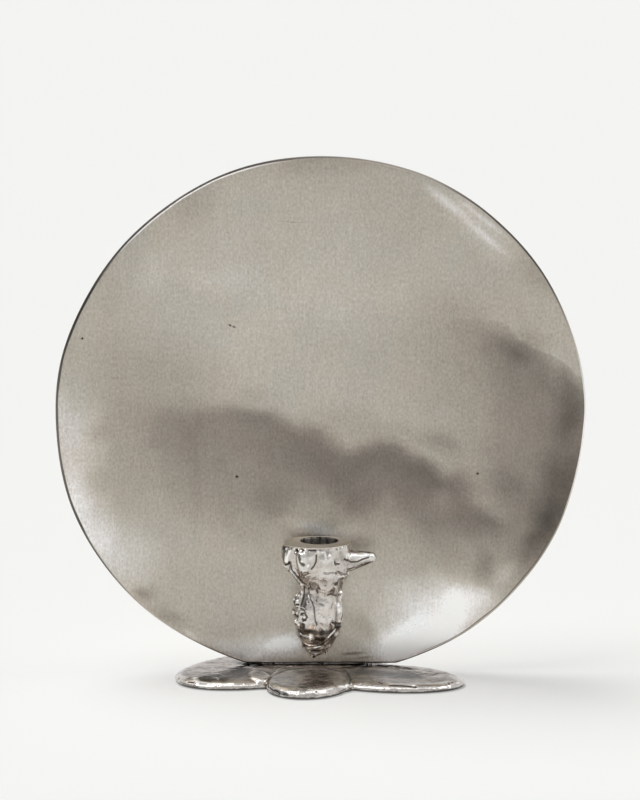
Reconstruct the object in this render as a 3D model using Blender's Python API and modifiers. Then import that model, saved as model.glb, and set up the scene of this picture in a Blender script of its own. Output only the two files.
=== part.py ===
"""Drip candle holder: a round upright plate on a puddle-shaped foot, with a drip-cast candle socket.

Units are metres and +Z is up. Pieces are placed about the middle of the plate's front face, at floor
level: X runs to the right, Y to the back and Z up from the floor. One empty carries that frame, so
that the finished holder stands with the middle of its footprint over the origin.
"""

import math
from dataclasses import dataclass

import bmesh
import bpy
from mathutils import Matrix, Vector

MM = 0.001

# Clearance between pieces that touch, and how far a cutter runs past the faces that it cuts
GAP = 0.3 * MM
OVERCUT = 3.0 * MM

# Reflector plate: a cast round, a little wider than high, with a straight foot
PLATE_WIDTH = 319.4 * MM
PLATE_ROUND_HEIGHT = 317.4 * MM
PLATE_FOOT_CUT = 6.4 * MM
PLATE_THICKNESS = 6.0 * MM
PLATE_EDGE_ROUND = 1.5 * MM
PLATE_EDGE_STEPS = 2
PLATE_SIDES = 144
# Hand-filed rim: waves round the edge, how far each one reaches, and where its first crest lies.
# The single wave moves the round a little down and to the right.
PLATE_WAVES = (
    (1, 0.75 * MM, math.radians(-52)),
    (2, 0.51 * MM, math.radians(65)),
    (3, 0.42 * MM, math.radians(186)),
    (4, 0.19 * MM, math.radians(72)),
    (7, 0.29 * MM, math.radians(62)),
    (11, 0.20 * MM, math.radians(50)),
    (13, 0.12 * MM, math.radians(42)),
)

# Foot casting: puddles that ran together, ground flat below and under the plate
BASE_UNDERSIDE = 0.5 * MM
BASE_WIDEST = 1.8 * MM
PLATE_SEAT_HEIGHT = 6.0 * MM
PLATE_SEAT_MARGIN = 1.0 * MM
PUDDLE_SIDES = 48
PUDDLE_RINGS = 16
# Shares of a round edge: a low value squares the drop off into a flat one with a full lip
PUDDLE_SQUARENESS = 0.22
# Foot casting: each drop's middle, its half length and half width, and its crown above the floor
BACK_PUDDLE_X = -8.0 * MM
BACK_PUDDLE_Y = 16.0 * MM
BACK_PUDDLE_HALF_LENGTH = 50.0 * MM
BACK_PUDDLE_HALF_WIDTH = 31.0 * MM
BACK_PUDDLE_CROWN = 6.2 * MM
LEFT_PUDDLE_X = -35.9 * MM
LEFT_PUDDLE_Y = -1.3 * MM
LEFT_PUDDLE_HALF_LENGTH = 57.6 * MM
LEFT_PUDDLE_HALF_WIDTH = 37.3 * MM
LEFT_PUDDLE_CROWN = 6.1 * MM
RIGHT_PUDDLE_X = 39.9 * MM
RIGHT_PUDDLE_Y = -22.8 * MM
RIGHT_PUDDLE_HALF_LENGTH = 48.2 * MM
RIGHT_PUDDLE_HALF_WIDTH = 29.2 * MM
RIGHT_PUDDLE_CROWN = 5.8 * MM
SMALL_LEFT_PUDDLE_X = -36.5 * MM
SMALL_LEFT_PUDDLE_Y = -29.5 * MM
SMALL_LEFT_PUDDLE_HALF_LENGTH = 7.5 * MM
SMALL_LEFT_PUDDLE_HALF_WIDTH = 13.5 * MM
SMALL_LEFT_PUDDLE_CROWN = 6.7 * MM
SMALL_RIGHT_PUDDLE_X = 10.5 * MM
SMALL_RIGHT_PUDDLE_Y = -42.0 * MM
SMALL_RIGHT_PUDDLE_HALF_LENGTH = 10.0 * MM
SMALL_RIGHT_PUDDLE_HALF_WIDTH = 9.4 * MM
SMALL_RIGHT_PUDDLE_CROWN = 5.6 * MM
FRONT_PUDDLE_X = -7.0 * MM
FRONT_PUDDLE_Y = -38.0 * MM
FRONT_PUDDLE_HALF_LENGTH = 25.0 * MM
FRONT_PUDDLE_HALF_WIDTH = 31.5 * MM
FRONT_PUDDLE_CROWN = 6.9 * MM

# Candle socket: the bore and the walls round it
CANDLE_BORE = 22.9 * MM
BORE_DEPTH = 20.0 * MM
BORE_X = -0.4 * MM
BORE_STAND_OFF = 17.8 * MM
BORE_SIDES = 64
SOCKET_TOP = 86.3 * MM
SOCKET_TIP = 11.0 * MM
RIM_WALL_LEFT = 9.2 * MM
RIM_WALL_RIGHT = 7.6 * MM
RIM_WALL_FRONT = 10.8 * MM
RIM_WALL_BACK = 2.0 * MM
# Candle socket: the neck under the rim and the belly that hangs against the plate
NECK_LEFT = 10.6 * MM
NECK_RIGHT = 13.4 * MM
NECK_FRONT = 31.5 * MM
BELLY_LEFT = 15.4 * MM
BELLY_RIGHT = 13.6 * MM
BELLY_FRONT = 32.5 * MM
SOCKET_ROOT = 4.0 * MM
# Candle socket: the drip that froze sideways off the right of the rim
WING_REACH = 34.2 * MM
WING_ROOT_THICKNESS = 15.5 * MM
WING_TIP_THICKNESS = 7.0 * MM
WING_TOP_STEP = 4.6 * MM
WING_TIP_DROP = 1.2 * MM
# Candle socket: how fine its cast skin is
SOCKET_GRAIN = 1.5 * MM
SOCKET_SMOOTHING = 2
SOCKET_FACETS_KEPT = 0.45
SOCKET_LEVELS = 40
SOCKET_SIDES = 48
# Shares of a round section: under 1 is squarer and over 1 is more pointed
SECTION_SQUARENESS = 0.82
FRONT_RIGHT_SQUARENESS = 1.1

# M5 screws and washers that hold the socket on the plate
SOCKET_SCREW_DIAMETER = 5.0 * MM
SOCKET_SCREW_LENGTH = 18.0 * MM
SOCKET_SCREW_HEAD = 9.5 * MM
SOCKET_SCREW_HEAD_HEIGHT = 2.8 * MM
SOCKET_SCREW_KEY = 3.0 * MM
SOCKET_SCREW_X = -1.0 * MM
SOCKET_SCREW_LOW = 33.0 * MM
SOCKET_SCREW_SPACING = 17.0 * MM
WASHER_WIDTH = 11.0 * MM
WASHER_THICKNESS = 1.1 * MM

# M4 countersunk screws that hold the plate on the foot
BASE_SCREW_DIAMETER = 4.0 * MM
BASE_SCREW_LENGTH = 15.0 * MM
BASE_SCREW_HEAD = 7.5 * MM
BASE_SCREW_HEAD_HEIGHT = 2.0 * MM
BASE_SCREW_KEY = 2.5 * MM
BASE_SCREW_SPACING = 30.0 * MM
KEY_DEPTH = 1.3 * MM
ROUND_SIDES = 24
KEY_SIDES = 6
# Points nearer than this are one point
WELD = 0.01 * MM

# Felt pads let into the underside
PAD_WIDTH = 12.0 * MM
PAD_THICKNESS = 1.5 * MM

# Sizes that follow from the ones above
PLATE_HALF_WIDTH = PLATE_WIDTH / 2
PLATE_HALF_HEIGHT = PLATE_ROUND_HEIGHT / 2
PLATE_BOTTOM = PLATE_SEAT_HEIGHT + GAP
PLATE_CENTRE = PLATE_BOTTOM + PLATE_HALF_HEIGHT - PLATE_FOOT_CUT
PLATE_FOOT_HALF = PLATE_HALF_WIDTH * math.sqrt(1 - (1 - PLATE_FOOT_CUT / PLATE_HALF_HEIGHT) ** 2)
BORE_RADIUS = CANDLE_BORE / 2
BORE_Y = -BORE_STAND_OFF
RIM_LEFT = BORE_X - BORE_RADIUS - RIM_WALL_LEFT
RIM_RIGHT = BORE_X + BORE_RADIUS + RIM_WALL_RIGHT
RIM_FRONT = BORE_Y - BORE_RADIUS - RIM_WALL_FRONT
RIM_BACK = BORE_Y + BORE_RADIUS + RIM_WALL_BACK
SOCKET_SCREW_HEIGHTS = {
    "lower": SOCKET_SCREW_LOW,
    "upper": SOCKET_SCREW_LOW + SOCKET_SCREW_SPACING,
}
BASE_SCREW_PLACES = {"left": -BASE_SCREW_SPACING, "centre": 0.0, "right": BASE_SCREW_SPACING}
BASE_SCREW_Y = PLATE_THICKNESS / 2


@dataclass
class Puddle:
    """One flat drop of the foot: an ellipse with a crowned top and a full round lip."""

    name: str
    x: float
    y: float
    half_length: float
    half_width: float
    turn: float
    crown: float
    pad: tuple = None

    def depth_reach(self):
        """How far the drop reaches to the front and to the back of its centre."""
        turn = math.radians(self.turn)
        return math.hypot(self.half_length * math.sin(turn), self.half_width * math.cos(turn))

    def placement(self):
        """The matrix that sets a drop made at the origin in its place."""
        turn = Matrix.Rotation(math.radians(self.turn), 4, "Z")
        return Matrix.Translation((self.x, self.y, BASE_WIDEST)) @ turn

    def point(self, along, across):
        """A place on the drop, in shares of its half length and half width."""
        return self.placement() @ Vector((along * self.half_length, across * self.half_width, 0))


# The drops of the foot, each with its turn in degrees and the place of its felt pad
PUDDLES = (
    Puddle(
        "back_puddle",
        BACK_PUDDLE_X,
        BACK_PUDDLE_Y,
        BACK_PUDDLE_HALF_LENGTH,
        BACK_PUDDLE_HALF_WIDTH,
        0,
        BACK_PUDDLE_CROWN,
        pad=(0.0, 0.55),
    ),
    Puddle(
        "left_puddle",
        LEFT_PUDDLE_X,
        LEFT_PUDDLE_Y,
        LEFT_PUDDLE_HALF_LENGTH,
        LEFT_PUDDLE_HALF_WIDTH,
        35,
        LEFT_PUDDLE_CROWN,
        pad=(-0.45, 0.1),
    ),
    Puddle(
        "right_puddle",
        RIGHT_PUDDLE_X,
        RIGHT_PUDDLE_Y,
        RIGHT_PUDDLE_HALF_LENGTH,
        RIGHT_PUDDLE_HALF_WIDTH,
        -15,
        RIGHT_PUDDLE_CROWN,
        pad=(0.45, 0.0),
    ),
    Puddle(
        "small_left_puddle",
        SMALL_LEFT_PUDDLE_X,
        SMALL_LEFT_PUDDLE_Y,
        SMALL_LEFT_PUDDLE_HALF_LENGTH,
        SMALL_LEFT_PUDDLE_HALF_WIDTH,
        12,
        SMALL_LEFT_PUDDLE_CROWN,
    ),
    Puddle(
        "small_right_puddle",
        SMALL_RIGHT_PUDDLE_X,
        SMALL_RIGHT_PUDDLE_Y,
        SMALL_RIGHT_PUDDLE_HALF_LENGTH,
        SMALL_RIGHT_PUDDLE_HALF_WIDTH,
        0,
        SMALL_RIGHT_PUDDLE_CROWN,
    ),
    Puddle(
        "front_puddle",
        FRONT_PUDDLE_X,
        FRONT_PUDDLE_Y,
        FRONT_PUDDLE_HALF_LENGTH,
        FRONT_PUDDLE_HALF_WIDTH,
        -14,
        FRONT_PUDDLE_CROWN,
        pad=(0.0, -0.5),
    ),
)
BASE_FRONT = min(puddle.y - puddle.depth_reach() for puddle in PUDDLES)
BASE_BACK = max(puddle.y + puddle.depth_reach() for puddle in PUDDLES)
FACE_OFFSET = -(BASE_FRONT + BASE_BACK) / 2

# Outline of the socket, from over its rim down to its tip: share of its height, then where its left,
# right, front and back lie there
SOCKET_OUTLINE = (
    (1.06, RIM_LEFT, RIM_RIGHT, RIM_FRONT, RIM_BACK),
    (1.00, RIM_LEFT, RIM_RIGHT, RIM_FRONT, RIM_BACK),
    (0.92, RIM_LEFT, RIM_RIGHT, RIM_FRONT, RIM_BACK),
    (0.84, 0.94 * RIM_LEFT, 0.98 * RIM_RIGHT, 0.98 * RIM_FRONT, 0.8 * RIM_BACK),
    (0.76, 0.80 * RIM_LEFT, 0.94 * RIM_RIGHT, 0.94 * RIM_FRONT, 0.4 * RIM_BACK),
    (0.69, 1.24 * -NECK_LEFT, 1.20 * NECK_RIGHT, 1.10 * -NECK_FRONT, 0.0),
    (0.62, -NECK_LEFT, NECK_RIGHT, -NECK_FRONT, SOCKET_ROOT),
    (0.55, 0.86 * -BELLY_LEFT, 0.98 * BELLY_RIGHT, 0.97 * -BELLY_FRONT, SOCKET_ROOT),
    (0.47, -BELLY_LEFT, BELLY_RIGHT, -BELLY_FRONT, SOCKET_ROOT),
    (0.37, -BELLY_LEFT, BELLY_RIGHT, -BELLY_FRONT, SOCKET_ROOT),
    (0.29, 0.98 * -BELLY_LEFT, 0.94 * BELLY_RIGHT, 0.92 * -BELLY_FRONT, SOCKET_ROOT),
    (0.22, 0.90 * -BELLY_LEFT, 0.80 * BELLY_RIGHT, 0.78 * -BELLY_FRONT, SOCKET_ROOT),
    (0.15, 0.78 * -BELLY_LEFT, 0.64 * BELLY_RIGHT, 0.60 * -BELLY_FRONT, SOCKET_ROOT),
    (0.09, 0.64 * -BELLY_LEFT, 0.42 * BELLY_RIGHT, 0.44 * -BELLY_FRONT, SOCKET_ROOT),
    (0.03, 0.44 * -BELLY_LEFT, 0.10 * BELLY_RIGHT, 0.28 * -BELLY_FRONT, SOCKET_ROOT),
)


@dataclass
class Run:
    """Wax that ran down the socket: turn round it in degrees (-90 is the front), shares of the height at
    its start and end, thickness there, and how far it stands proud."""

    name: str
    turn: float
    start: float
    end: float
    thick: float
    thin: float
    proud: float


@dataclass
class Lap:
    """The edge where one layer of wax stopped over another: share of the height, turn at each end in
    degrees, thickness, and how far it stands proud."""

    name: str
    share: float
    turn_start: float
    turn_end: float
    thickness: float
    proud: float


SOCKET_RUNS = (
    Run("left_corner", -168, 0.95, 0.81, 9.0 * MM, 8.0 * MM, 2.6 * MM),
    Run("front_left_run", -116, 0.93, 0.83, 7.0 * MM, 8.4 * MM, 2.2 * MM),
    Run("middle_run", -76, 0.90, 0.30, 15.0 * MM, 17.0 * MM, 1.6 * MM),
    Run("neck_run", -148, 0.80, 0.50, 6.0 * MM, 7.0 * MM, 2.0 * MM),
    Run("right_run", -28, 0.58, 0.33, 5.4 * MM, 6.0 * MM, 1.8 * MM),
    Run("upper_bead", -170, 0.53, 0.50, 6.4 * MM, 6.4 * MM, 2.0 * MM),
    Run("middle_bead", -172, 0.43, 0.41, 5.6 * MM, 5.6 * MM, 1.9 * MM),
    Run("lower_bead", -150, 0.36, 0.35, 5.8 * MM, 5.8 * MM, 1.8 * MM),
    Run("tip_bead", -105, 0.07, 0.04, 5.2 * MM, 4.6 * MM, 1.6 * MM),
)
SOCKET_LAPS = (
    Lap("rim_lap", 0.75, -75, -15, 4.2 * MM, 0.9 * MM),
    Lap("belly_lap", 0.24, -165, -20, 5.0 * MM, 1.1 * MM),
    Lap("lower_lap", 0.13, -160, -30, 4.6 * MM, 1.1 * MM),
)
# How many stretches a run and a lap are laid in
RUN_STEPS = 4
LAP_STEPS = 8


def clear_scene():
    """Remove whatever the scene holds."""
    for item in list(bpy.data.objects):
        bpy.data.objects.remove(item, do_unlink=True)


def new_collection(name):
    """Make a collection under the scene's own."""
    collection = bpy.data.collections.new(name)
    bpy.context.scene.collection.children.link(collection)
    return collection


def finish(name, colour, metallic, roughness):
    """Make a plain Principled material."""
    material = bpy.data.materials.new(name)
    material.use_nodes = True
    shader = material.node_tree.nodes["Principled BSDF"]
    shader.inputs["Base Color"].default_value = (*colour, 1)
    shader.inputs["Metallic"].default_value = metallic
    shader.inputs["Roughness"].default_value = roughness
    material.diffuse_color = (*colour, 1)
    return material


def block(low, high):
    """A box between two corners, as a bmesh."""
    low, high = Vector(low), Vector(high)
    bm = bmesh.new()
    bmesh.ops.create_cube(bm, size=1)
    bmesh.ops.scale(bm, vec=high - low, verts=bm.verts)
    bmesh.ops.translate(bm, vec=(low + high) / 2, verts=bm.verts)
    return bm


def rod(radius, length, sides=ROUND_SIDES):
    """A cylinder that runs down from the origin along -Z, as a bmesh."""
    bm = bmesh.new()
    bmesh.ops.create_cone(
        bm, cap_ends=True, segments=sides, radius1=radius, radius2=radius, depth=length
    )
    bmesh.ops.translate(bm, vec=(0, 0, -length / 2), verts=bm.verts)
    return bm


def key_rod(width):
    """The hollow that a hexagon key of this width across its flats fits, open at its top, as a bmesh."""
    corner_radius = width / 2 / math.cos(math.pi / KEY_SIDES)
    return rod(corner_radius, KEY_DEPTH + OVERCUT, KEY_SIDES)


def outline_edges(profile, closed=False):
    """A line of points (radius, height) in the XZ plane, as a bmesh, for a Screw modifier."""
    bm = bmesh.new()
    verts = [bm.verts.new((radius, 0, height)) for radius, height in profile]
    pairs = zip(verts, verts[1:] + verts[:1]) if closed else zip(verts, verts[1:])
    for pair in pairs:
        bm.edges.new(pair)
    return bm


class Holder:
    """The assembly's frame and collections, and the ways a piece is added, cut or joined."""

    def __init__(self):
        self.parts = new_collection("drip_candle_holder")
        self.cutters = new_collection("cutters")
        self.frame = bpy.data.objects.new("holder_frame", None)
        self.frame.location = (0, FACE_OFFSET, 0)
        self.parts.objects.link(self.frame)

    def link(self, name, bm, collection, place, turn):
        """Turn a bmesh into a smooth-shaded object under the holder's frame."""
        if bm.faces:
            bmesh.ops.recalc_face_normals(bm, faces=bm.faces)
        mesh = bpy.data.meshes.new(name)
        bm.to_mesh(mesh)
        bm.free()
        mesh.shade_smooth()
        mesh.set_sharp_from_angle(angle=math.radians(35))
        item = bpy.data.objects.new(name, mesh)
        item.parent = self.frame
        item.location = place
        item.rotation_euler = turn
        collection.objects.link(item)
        return item

    def piece(self, name, bm, material, place=(0, 0, 0), turn=(0, 0, 0)):
        """Add a piece of the holder."""
        item = self.link(name, bm, self.parts, place, turn)
        item.data.materials.append(material)
        return item

    def cutter(self, name, bm, place=(0, 0, 0), turn=(0, 0, 0)):
        """Add a hidden shape that cuts a piece or joins it."""
        item = self.link(name, bm, self.cutters, place, turn)
        item.hide_render = True
        item.display_type = "WIRE"
        return item


def turn_profile(item, sides=ROUND_SIDES):
    """Turn an item's profile about its own Z axis."""
    screw = item.modifiers.new("turned", "SCREW")
    screw.axis = "Z"
    screw.steps = sides
    screw.render_steps = sides
    screw.use_merge_vertices = True
    screw.merge_threshold = WELD
    screw.use_smooth_shade = True
    return item


def combine(item, shape, operation="DIFFERENCE"):
    """Cut a shape from an item, or join it on."""
    step = item.modifiers.new(shape.name, "BOOLEAN")
    step.operation = operation
    step.solver = "EXACT"
    step.object = shape


def plate_edge_point(angle):
    """A point of the plate's rim, seen from the front."""
    wave = sum(reach * math.cos(order * angle - crest) for order, reach, crest in PLATE_WAVES)
    x = (PLATE_HALF_WIDTH + wave) * math.cos(angle)
    z = (PLATE_HALF_HEIGHT + wave) * math.sin(angle)
    return Vector((x, 0, PLATE_CENTRE + z))


def build_plate(holder, material):
    """The reflector plate: its round outline, its foot, its rounded edge and its screw holes."""
    bm = bmesh.new()
    angles = [math.tau * step / PLATE_SIDES for step in range(PLATE_SIDES)]
    face = bm.faces.new([bm.verts.new(plate_edge_point(angle)) for angle in angles])
    if face.normal.y > 0:
        face.normal_flip()
    bmesh.ops.bisect_plane(
        bm,
        geom=bm.verts[:] + bm.edges[:] + bm.faces[:],
        plane_co=(0, 0, PLATE_BOTTOM),
        plane_no=(0, 0, 1),
        clear_inner=True,
    )
    plate = holder.piece("reflector_plate", bm, material)
    shell = plate.modifiers.new("thickness", "SOLIDIFY")
    shell.thickness = PLATE_THICKNESS
    shell.offset = 1 if plate.data.polygons[0].normal.y > 0 else -1
    edge = plate.modifiers.new("rounded_edge", "BEVEL")
    edge.width = PLATE_EDGE_ROUND
    edge.segments = PLATE_EDGE_STEPS
    edge.limit_method = "ANGLE"
    edge.angle_limit = math.radians(40)

    through = PLATE_THICKNESS + 2 * OVERCUT
    for end, height in SOCKET_SCREW_HEIGHTS.items():
        hole = holder.cutter(
            f"plate_hole_{end}",
            rod(SOCKET_SCREW_DIAMETER / 2 + GAP, through),
            (SOCKET_SCREW_X, PLATE_THICKNESS + OVERCUT, height),
            (math.radians(-90), 0, 0),
        )
        combine(plate, hole)
    screw_tip = BASE_UNDERSIDE + GAP + BASE_SCREW_LENGTH
    for end, x in BASE_SCREW_PLACES.items():
        hole = holder.cutter(
            f"plate_foot_hole_{end}",
            rod(BASE_SCREW_DIAMETER / 2 + GAP, screw_tip + GAP - PLATE_BOTTOM + OVERCUT),
            (x, BASE_SCREW_Y, screw_tip + GAP),
        )
        combine(plate, hole)


def puddle_bmesh(puddle):
    """One drop: a sphere squared off into a flat round with a full lip, then drawn into an ellipse."""
    bm = bmesh.new()
    bmesh.ops.create_uvsphere(bm, u_segments=PUDDLE_SIDES, v_segments=PUDDLE_RINGS, radius=1)
    for vert in bm.verts:
        spread = math.hypot(vert.co.x, vert.co.y)
        if spread > GAP:
            squared = spread ** PUDDLE_SQUARENESS / spread
            vert.co.x *= squared
            vert.co.y *= squared
    size = (puddle.half_length, puddle.half_width, puddle.crown - BASE_WIDEST)
    bmesh.ops.scale(bm, vec=size, verts=bm.verts)
    bmesh.ops.transform(bm, matrix=puddle.placement(), verts=bm.verts)
    return bm


def build_base(holder, material):
    """The foot casting: the drops joined, then ground flat, drilled and let out for its pads."""
    first, *others = PUDDLES
    base = holder.piece("drip_base", puddle_bmesh(first), material)
    for puddle in others:
        combine(base, holder.cutter(puddle.name, puddle_bmesh(puddle)), "UNION")

    ground = holder.cutter(
        "ground_underside",
        block((-PLATE_WIDTH, -PLATE_WIDTH, -PLATE_SEAT_HEIGHT), (PLATE_WIDTH, PLATE_WIDTH, BASE_UNDERSIDE)),
    )
    combine(base, ground)
    seat_half = PLATE_FOOT_HALF + PLATE_SEAT_MARGIN
    seat = holder.cutter(
        "ground_plate_seat",
        block(
            (-seat_half, -PLATE_SEAT_MARGIN, PLATE_SEAT_HEIGHT),
            (seat_half, PLATE_THICKNESS + PLATE_SEAT_MARGIN, 2 * PLATE_SEAT_HEIGHT),
        ),
    )
    combine(base, seat)

    head = BASE_SCREW_HEAD / 2 + GAP
    shank = BASE_SCREW_DIAMETER / 2 + GAP
    countersink = [
        (0, OVERCUT),
        (head, OVERCUT),
        (head, -GAP),
        (shank, -GAP - BASE_SCREW_HEAD_HEIGHT),
        (shank, -PLATE_SEAT_HEIGHT - OVERCUT),
        (0, -PLATE_SEAT_HEIGHT - OVERCUT),
    ]
    for end, x in BASE_SCREW_PLACES.items():
        hole = holder.cutter(
            f"base_screw_hole_{end}",
            outline_edges(countersink),
            (x, BASE_SCREW_Y, BASE_UNDERSIDE + GAP),
            (math.radians(180), 0, 0),
        )
        combine(base, turn_profile(hole))
    for puddle in PUDDLES:
        if puddle.pad:
            spot = puddle.point(*puddle.pad)
            recess = holder.cutter(
                f"{puddle.name}_pad_recess",
                rod(PAD_WIDTH / 2 + GAP, PAD_THICKNESS + GAP + OVERCUT),
                (spot.x, spot.y, PAD_THICKNESS + GAP),
            )
            combine(base, recess)


def build_pads(holder, material):
    """The felt pads, one under each large drop."""
    for puddle in PUDDLES:
        if puddle.pad:
            spot = puddle.point(*puddle.pad)
            name = f"foot_pad_{puddle.name.removesuffix('_puddle')}"
            holder.piece(name, rod(PAD_WIDTH / 2, PAD_THICKNESS), material, (spot.x, spot.y, PAD_THICKNESS))


def socket_sides(share):
    """Left, right, front and back of the socket at a share of its height, by a smooth curve."""
    rows = SOCKET_OUTLINE[::-1]
    share = min(max(share, rows[0][0]), rows[-1][0])
    index = max(i for i in range(len(rows) - 1) if rows[i][0] <= share)
    below, low, high, above = (rows[min(max(index + step, 0), len(rows) - 1)] for step in (-1, 0, 1, 2))
    span = high[0] - low[0]
    t = (share - low[0]) / span
    sides = []
    for side in range(1, 5):
        rise_low = (high[side] - below[side]) / max(high[0] - below[0], span) * span
        rise_high = (above[side] - low[side]) / max(above[0] - low[0], span) * span
        blend = (2 * t**3 - 3 * t**2 + 1) * low[side] + (t**3 - 2 * t**2 + t) * rise_low
        blend += (3 * t**2 - 2 * t**3) * high[side] + (t**3 - t**2) * rise_high
        sides.append(blend)
    return sides


def socket_point(share, turn, sunk=0.0):
    """A point on the socket's skin, or sunk below it, at a share of its height and a turn round it."""
    left, right, front, back = socket_sides(share)
    centre = Vector(((left + right) / 2, (front + back) / 2))
    across, along = math.cos(turn), math.sin(turn)
    pointed = max(across, 0) * max(-along, 0) * 2
    power = SECTION_SQUARENESS + (FRONT_RIGHT_SQUARENESS - SECTION_SQUARENESS) * pointed
    skin = Vector(
        (
            math.copysign(abs(across) ** power, across) * (right - left) / 2,
            math.copysign(abs(along) ** power, along) * (back - front) / 2,
        )
    )
    spot = centre + skin - skin.normalized() * sunk
    return Vector((*spot, SOCKET_TIP + share * (SOCKET_TOP - SOCKET_TIP)))


def add_bead(bm, centre, radius):
    """Add a ball of wax."""
    bmesh.ops.create_icosphere(bm, subdivisions=2, radius=radius, matrix=Matrix.Translation(centre))


def add_chain(bm, points, radii):
    """Add balls along a line of points, close enough to flow together."""
    for (start, end), (thick, thin) in zip(zip(points, points[1:]), zip(radii, radii[1:])):
        count = max(2, math.ceil((end - start).length / (0.35 * min(thick, thin))))
        for step in range(count + 1):
            share = step / count
            add_bead(bm, start.lerp(end, share), thick + (thin - thick) * share)


def socket_bmesh():
    """The socket's rough form: its body, runs, laps and wing, as shapes that pass through each other."""
    bm = bmesh.new()
    top, bottom = SOCKET_OUTLINE[0][0], SOCKET_OUTLINE[-1][0]
    rings = []
    for level in range(SOCKET_LEVELS + 1):
        share = bottom + (top - bottom) * level / SOCKET_LEVELS
        turns = [math.tau * side / SOCKET_SIDES for side in range(SOCKET_SIDES)]
        rings.append([bm.verts.new(socket_point(share, turn)) for turn in turns])
    for lower, upper in zip(rings, rings[1:]):
        for side in range(SOCKET_SIDES):
            ahead = (side + 1) % SOCKET_SIDES
            bm.faces.new((lower[side], lower[ahead], upper[ahead], upper[side]))
    bm.faces.new(rings[0][::-1])
    bm.faces.new(rings[-1])

    for run in SOCKET_RUNS:
        steps = [step / RUN_STEPS for step in range(RUN_STEPS + 1)]
        radii = [(run.thick + (run.thin - run.thick) * step) / 2 for step in steps]
        points = [
            socket_point(run.start + (run.end - run.start) * step, math.radians(run.turn), radius - run.proud)
            for step, radius in zip(steps, radii)
        ]
        add_chain(bm, points, radii)
    for lap in SOCKET_LAPS:
        radius = lap.thickness / 2
        turns = [
            lap.turn_start + (lap.turn_end - lap.turn_start) * step / LAP_STEPS
            for step in range(LAP_STEPS + 1)
        ]
        points = [socket_point(lap.share, math.radians(turn), radius - lap.proud) for turn in turns]
        add_chain(bm, points, [radius] * len(points))

    root, tip = WING_ROOT_THICKNESS / 2, WING_TIP_THICKNESS / 2
    wing_top = SOCKET_TOP - WING_TOP_STEP
    wing_y = (RIM_FRONT + RIM_BACK) / 2
    add_chain(
        bm,
        [
            Vector((RIM_RIGHT - root, wing_y, wing_top - root)),
            Vector((WING_REACH - tip, wing_y, wing_top - WING_TIP_DROP - tip)),
        ],
        [root, tip],
    )
    return bm


def build_socket(holder, material):
    """The candle socket: its cast skin, then its flat top, back seat, candle bore and screw holes."""
    socket = holder.piece("candle_socket", socket_bmesh(), material)
    skin = socket.modifiers.new("cast_skin", "REMESH")
    skin.mode = "VOXEL"
    skin.voxel_size = SOCKET_GRAIN
    skin.use_smooth_shade = True
    flow = socket.modifiers.new("flow", "SMOOTH")
    flow.factor = 0.5
    flow.iterations = SOCKET_SMOOTHING
    fewer = socket.modifiers.new("fewer_facets", "DECIMATE")
    fewer.ratio = SOCKET_FACETS_KEPT

    room = PLATE_WIDTH
    top = holder.cutter(
        "ground_top", block((-room, -room, SOCKET_TOP), (room, room, SOCKET_TOP + room))
    )
    combine(socket, top)
    back = holder.cutter("ground_back", block((-room, -GAP, -room), (room, room, room)))
    combine(socket, back)
    bore = holder.cutter(
        "candle_bore",
        rod(BORE_RADIUS, BORE_DEPTH + OVERCUT, BORE_SIDES),
        (BORE_X, BORE_Y, SOCKET_TOP + OVERCUT),
    )
    combine(socket, bore)
    screw_seat = PLATE_THICKNESS + GAP + WASHER_THICKNESS + GAP
    for end, height in SOCKET_SCREW_HEIGHTS.items():
        hole = holder.cutter(
            f"socket_hole_{end}",
            rod(SOCKET_SCREW_DIAMETER / 2 + GAP, SOCKET_SCREW_LENGTH - screw_seat + GAP + OVERCUT),
            (SOCKET_SCREW_X, OVERCUT, height),
            (math.radians(-90), 0, 0),
        )
        combine(socket, hole)


def build_socket_screws(holder, material):
    """The screws and washers behind the plate that hold the socket."""
    head, shank = SOCKET_SCREW_HEAD / 2, SOCKET_SCREW_DIAMETER / 2
    point = SOCKET_SCREW_DIAMETER / 8
    button = [
        (0, SOCKET_SCREW_HEAD_HEIGHT),
        (0.55 * head, 0.96 * SOCKET_SCREW_HEAD_HEIGHT),
        (0.85 * head, 0.66 * SOCKET_SCREW_HEAD_HEIGHT),
        (head, 0.2 * SOCKET_SCREW_HEAD_HEIGHT),
        (head, 0),
        (shank, 0),
        (shank, point - SOCKET_SCREW_LENGTH),
        (shank - point, -SOCKET_SCREW_LENGTH),
        (0, -SOCKET_SCREW_LENGTH),
    ]
    washer_hole = shank + GAP
    washer = [
        (washer_hole, WASHER_THICKNESS),
        (WASHER_WIDTH / 2, WASHER_THICKNESS),
        (WASHER_WIDTH / 2, 0),
        (washer_hole, 0),
    ]
    washer_y = PLATE_THICKNESS + GAP
    head_y = washer_y + WASHER_THICKNESS + GAP
    to_back = (math.radians(-90), 0, 0)
    for end, height in SOCKET_SCREW_HEIGHTS.items():
        ring = holder.piece(
            f"socket_washer_{end}",
            outline_edges(washer, closed=True),
            material,
            (SOCKET_SCREW_X, washer_y, height),
            to_back,
        )
        turn_profile(ring)
        screw = holder.piece(
            f"socket_screw_{end}",
            outline_edges(button),
            material,
            (SOCKET_SCREW_X, head_y, height),
            to_back,
        )
        turn_profile(screw)
        key = holder.cutter(
            f"socket_screw_key_{end}",
            key_rod(SOCKET_SCREW_KEY),
            (SOCKET_SCREW_X, head_y + SOCKET_SCREW_HEAD_HEIGHT + OVERCUT, height),
            to_back,
        )
        combine(screw, key)


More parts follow.
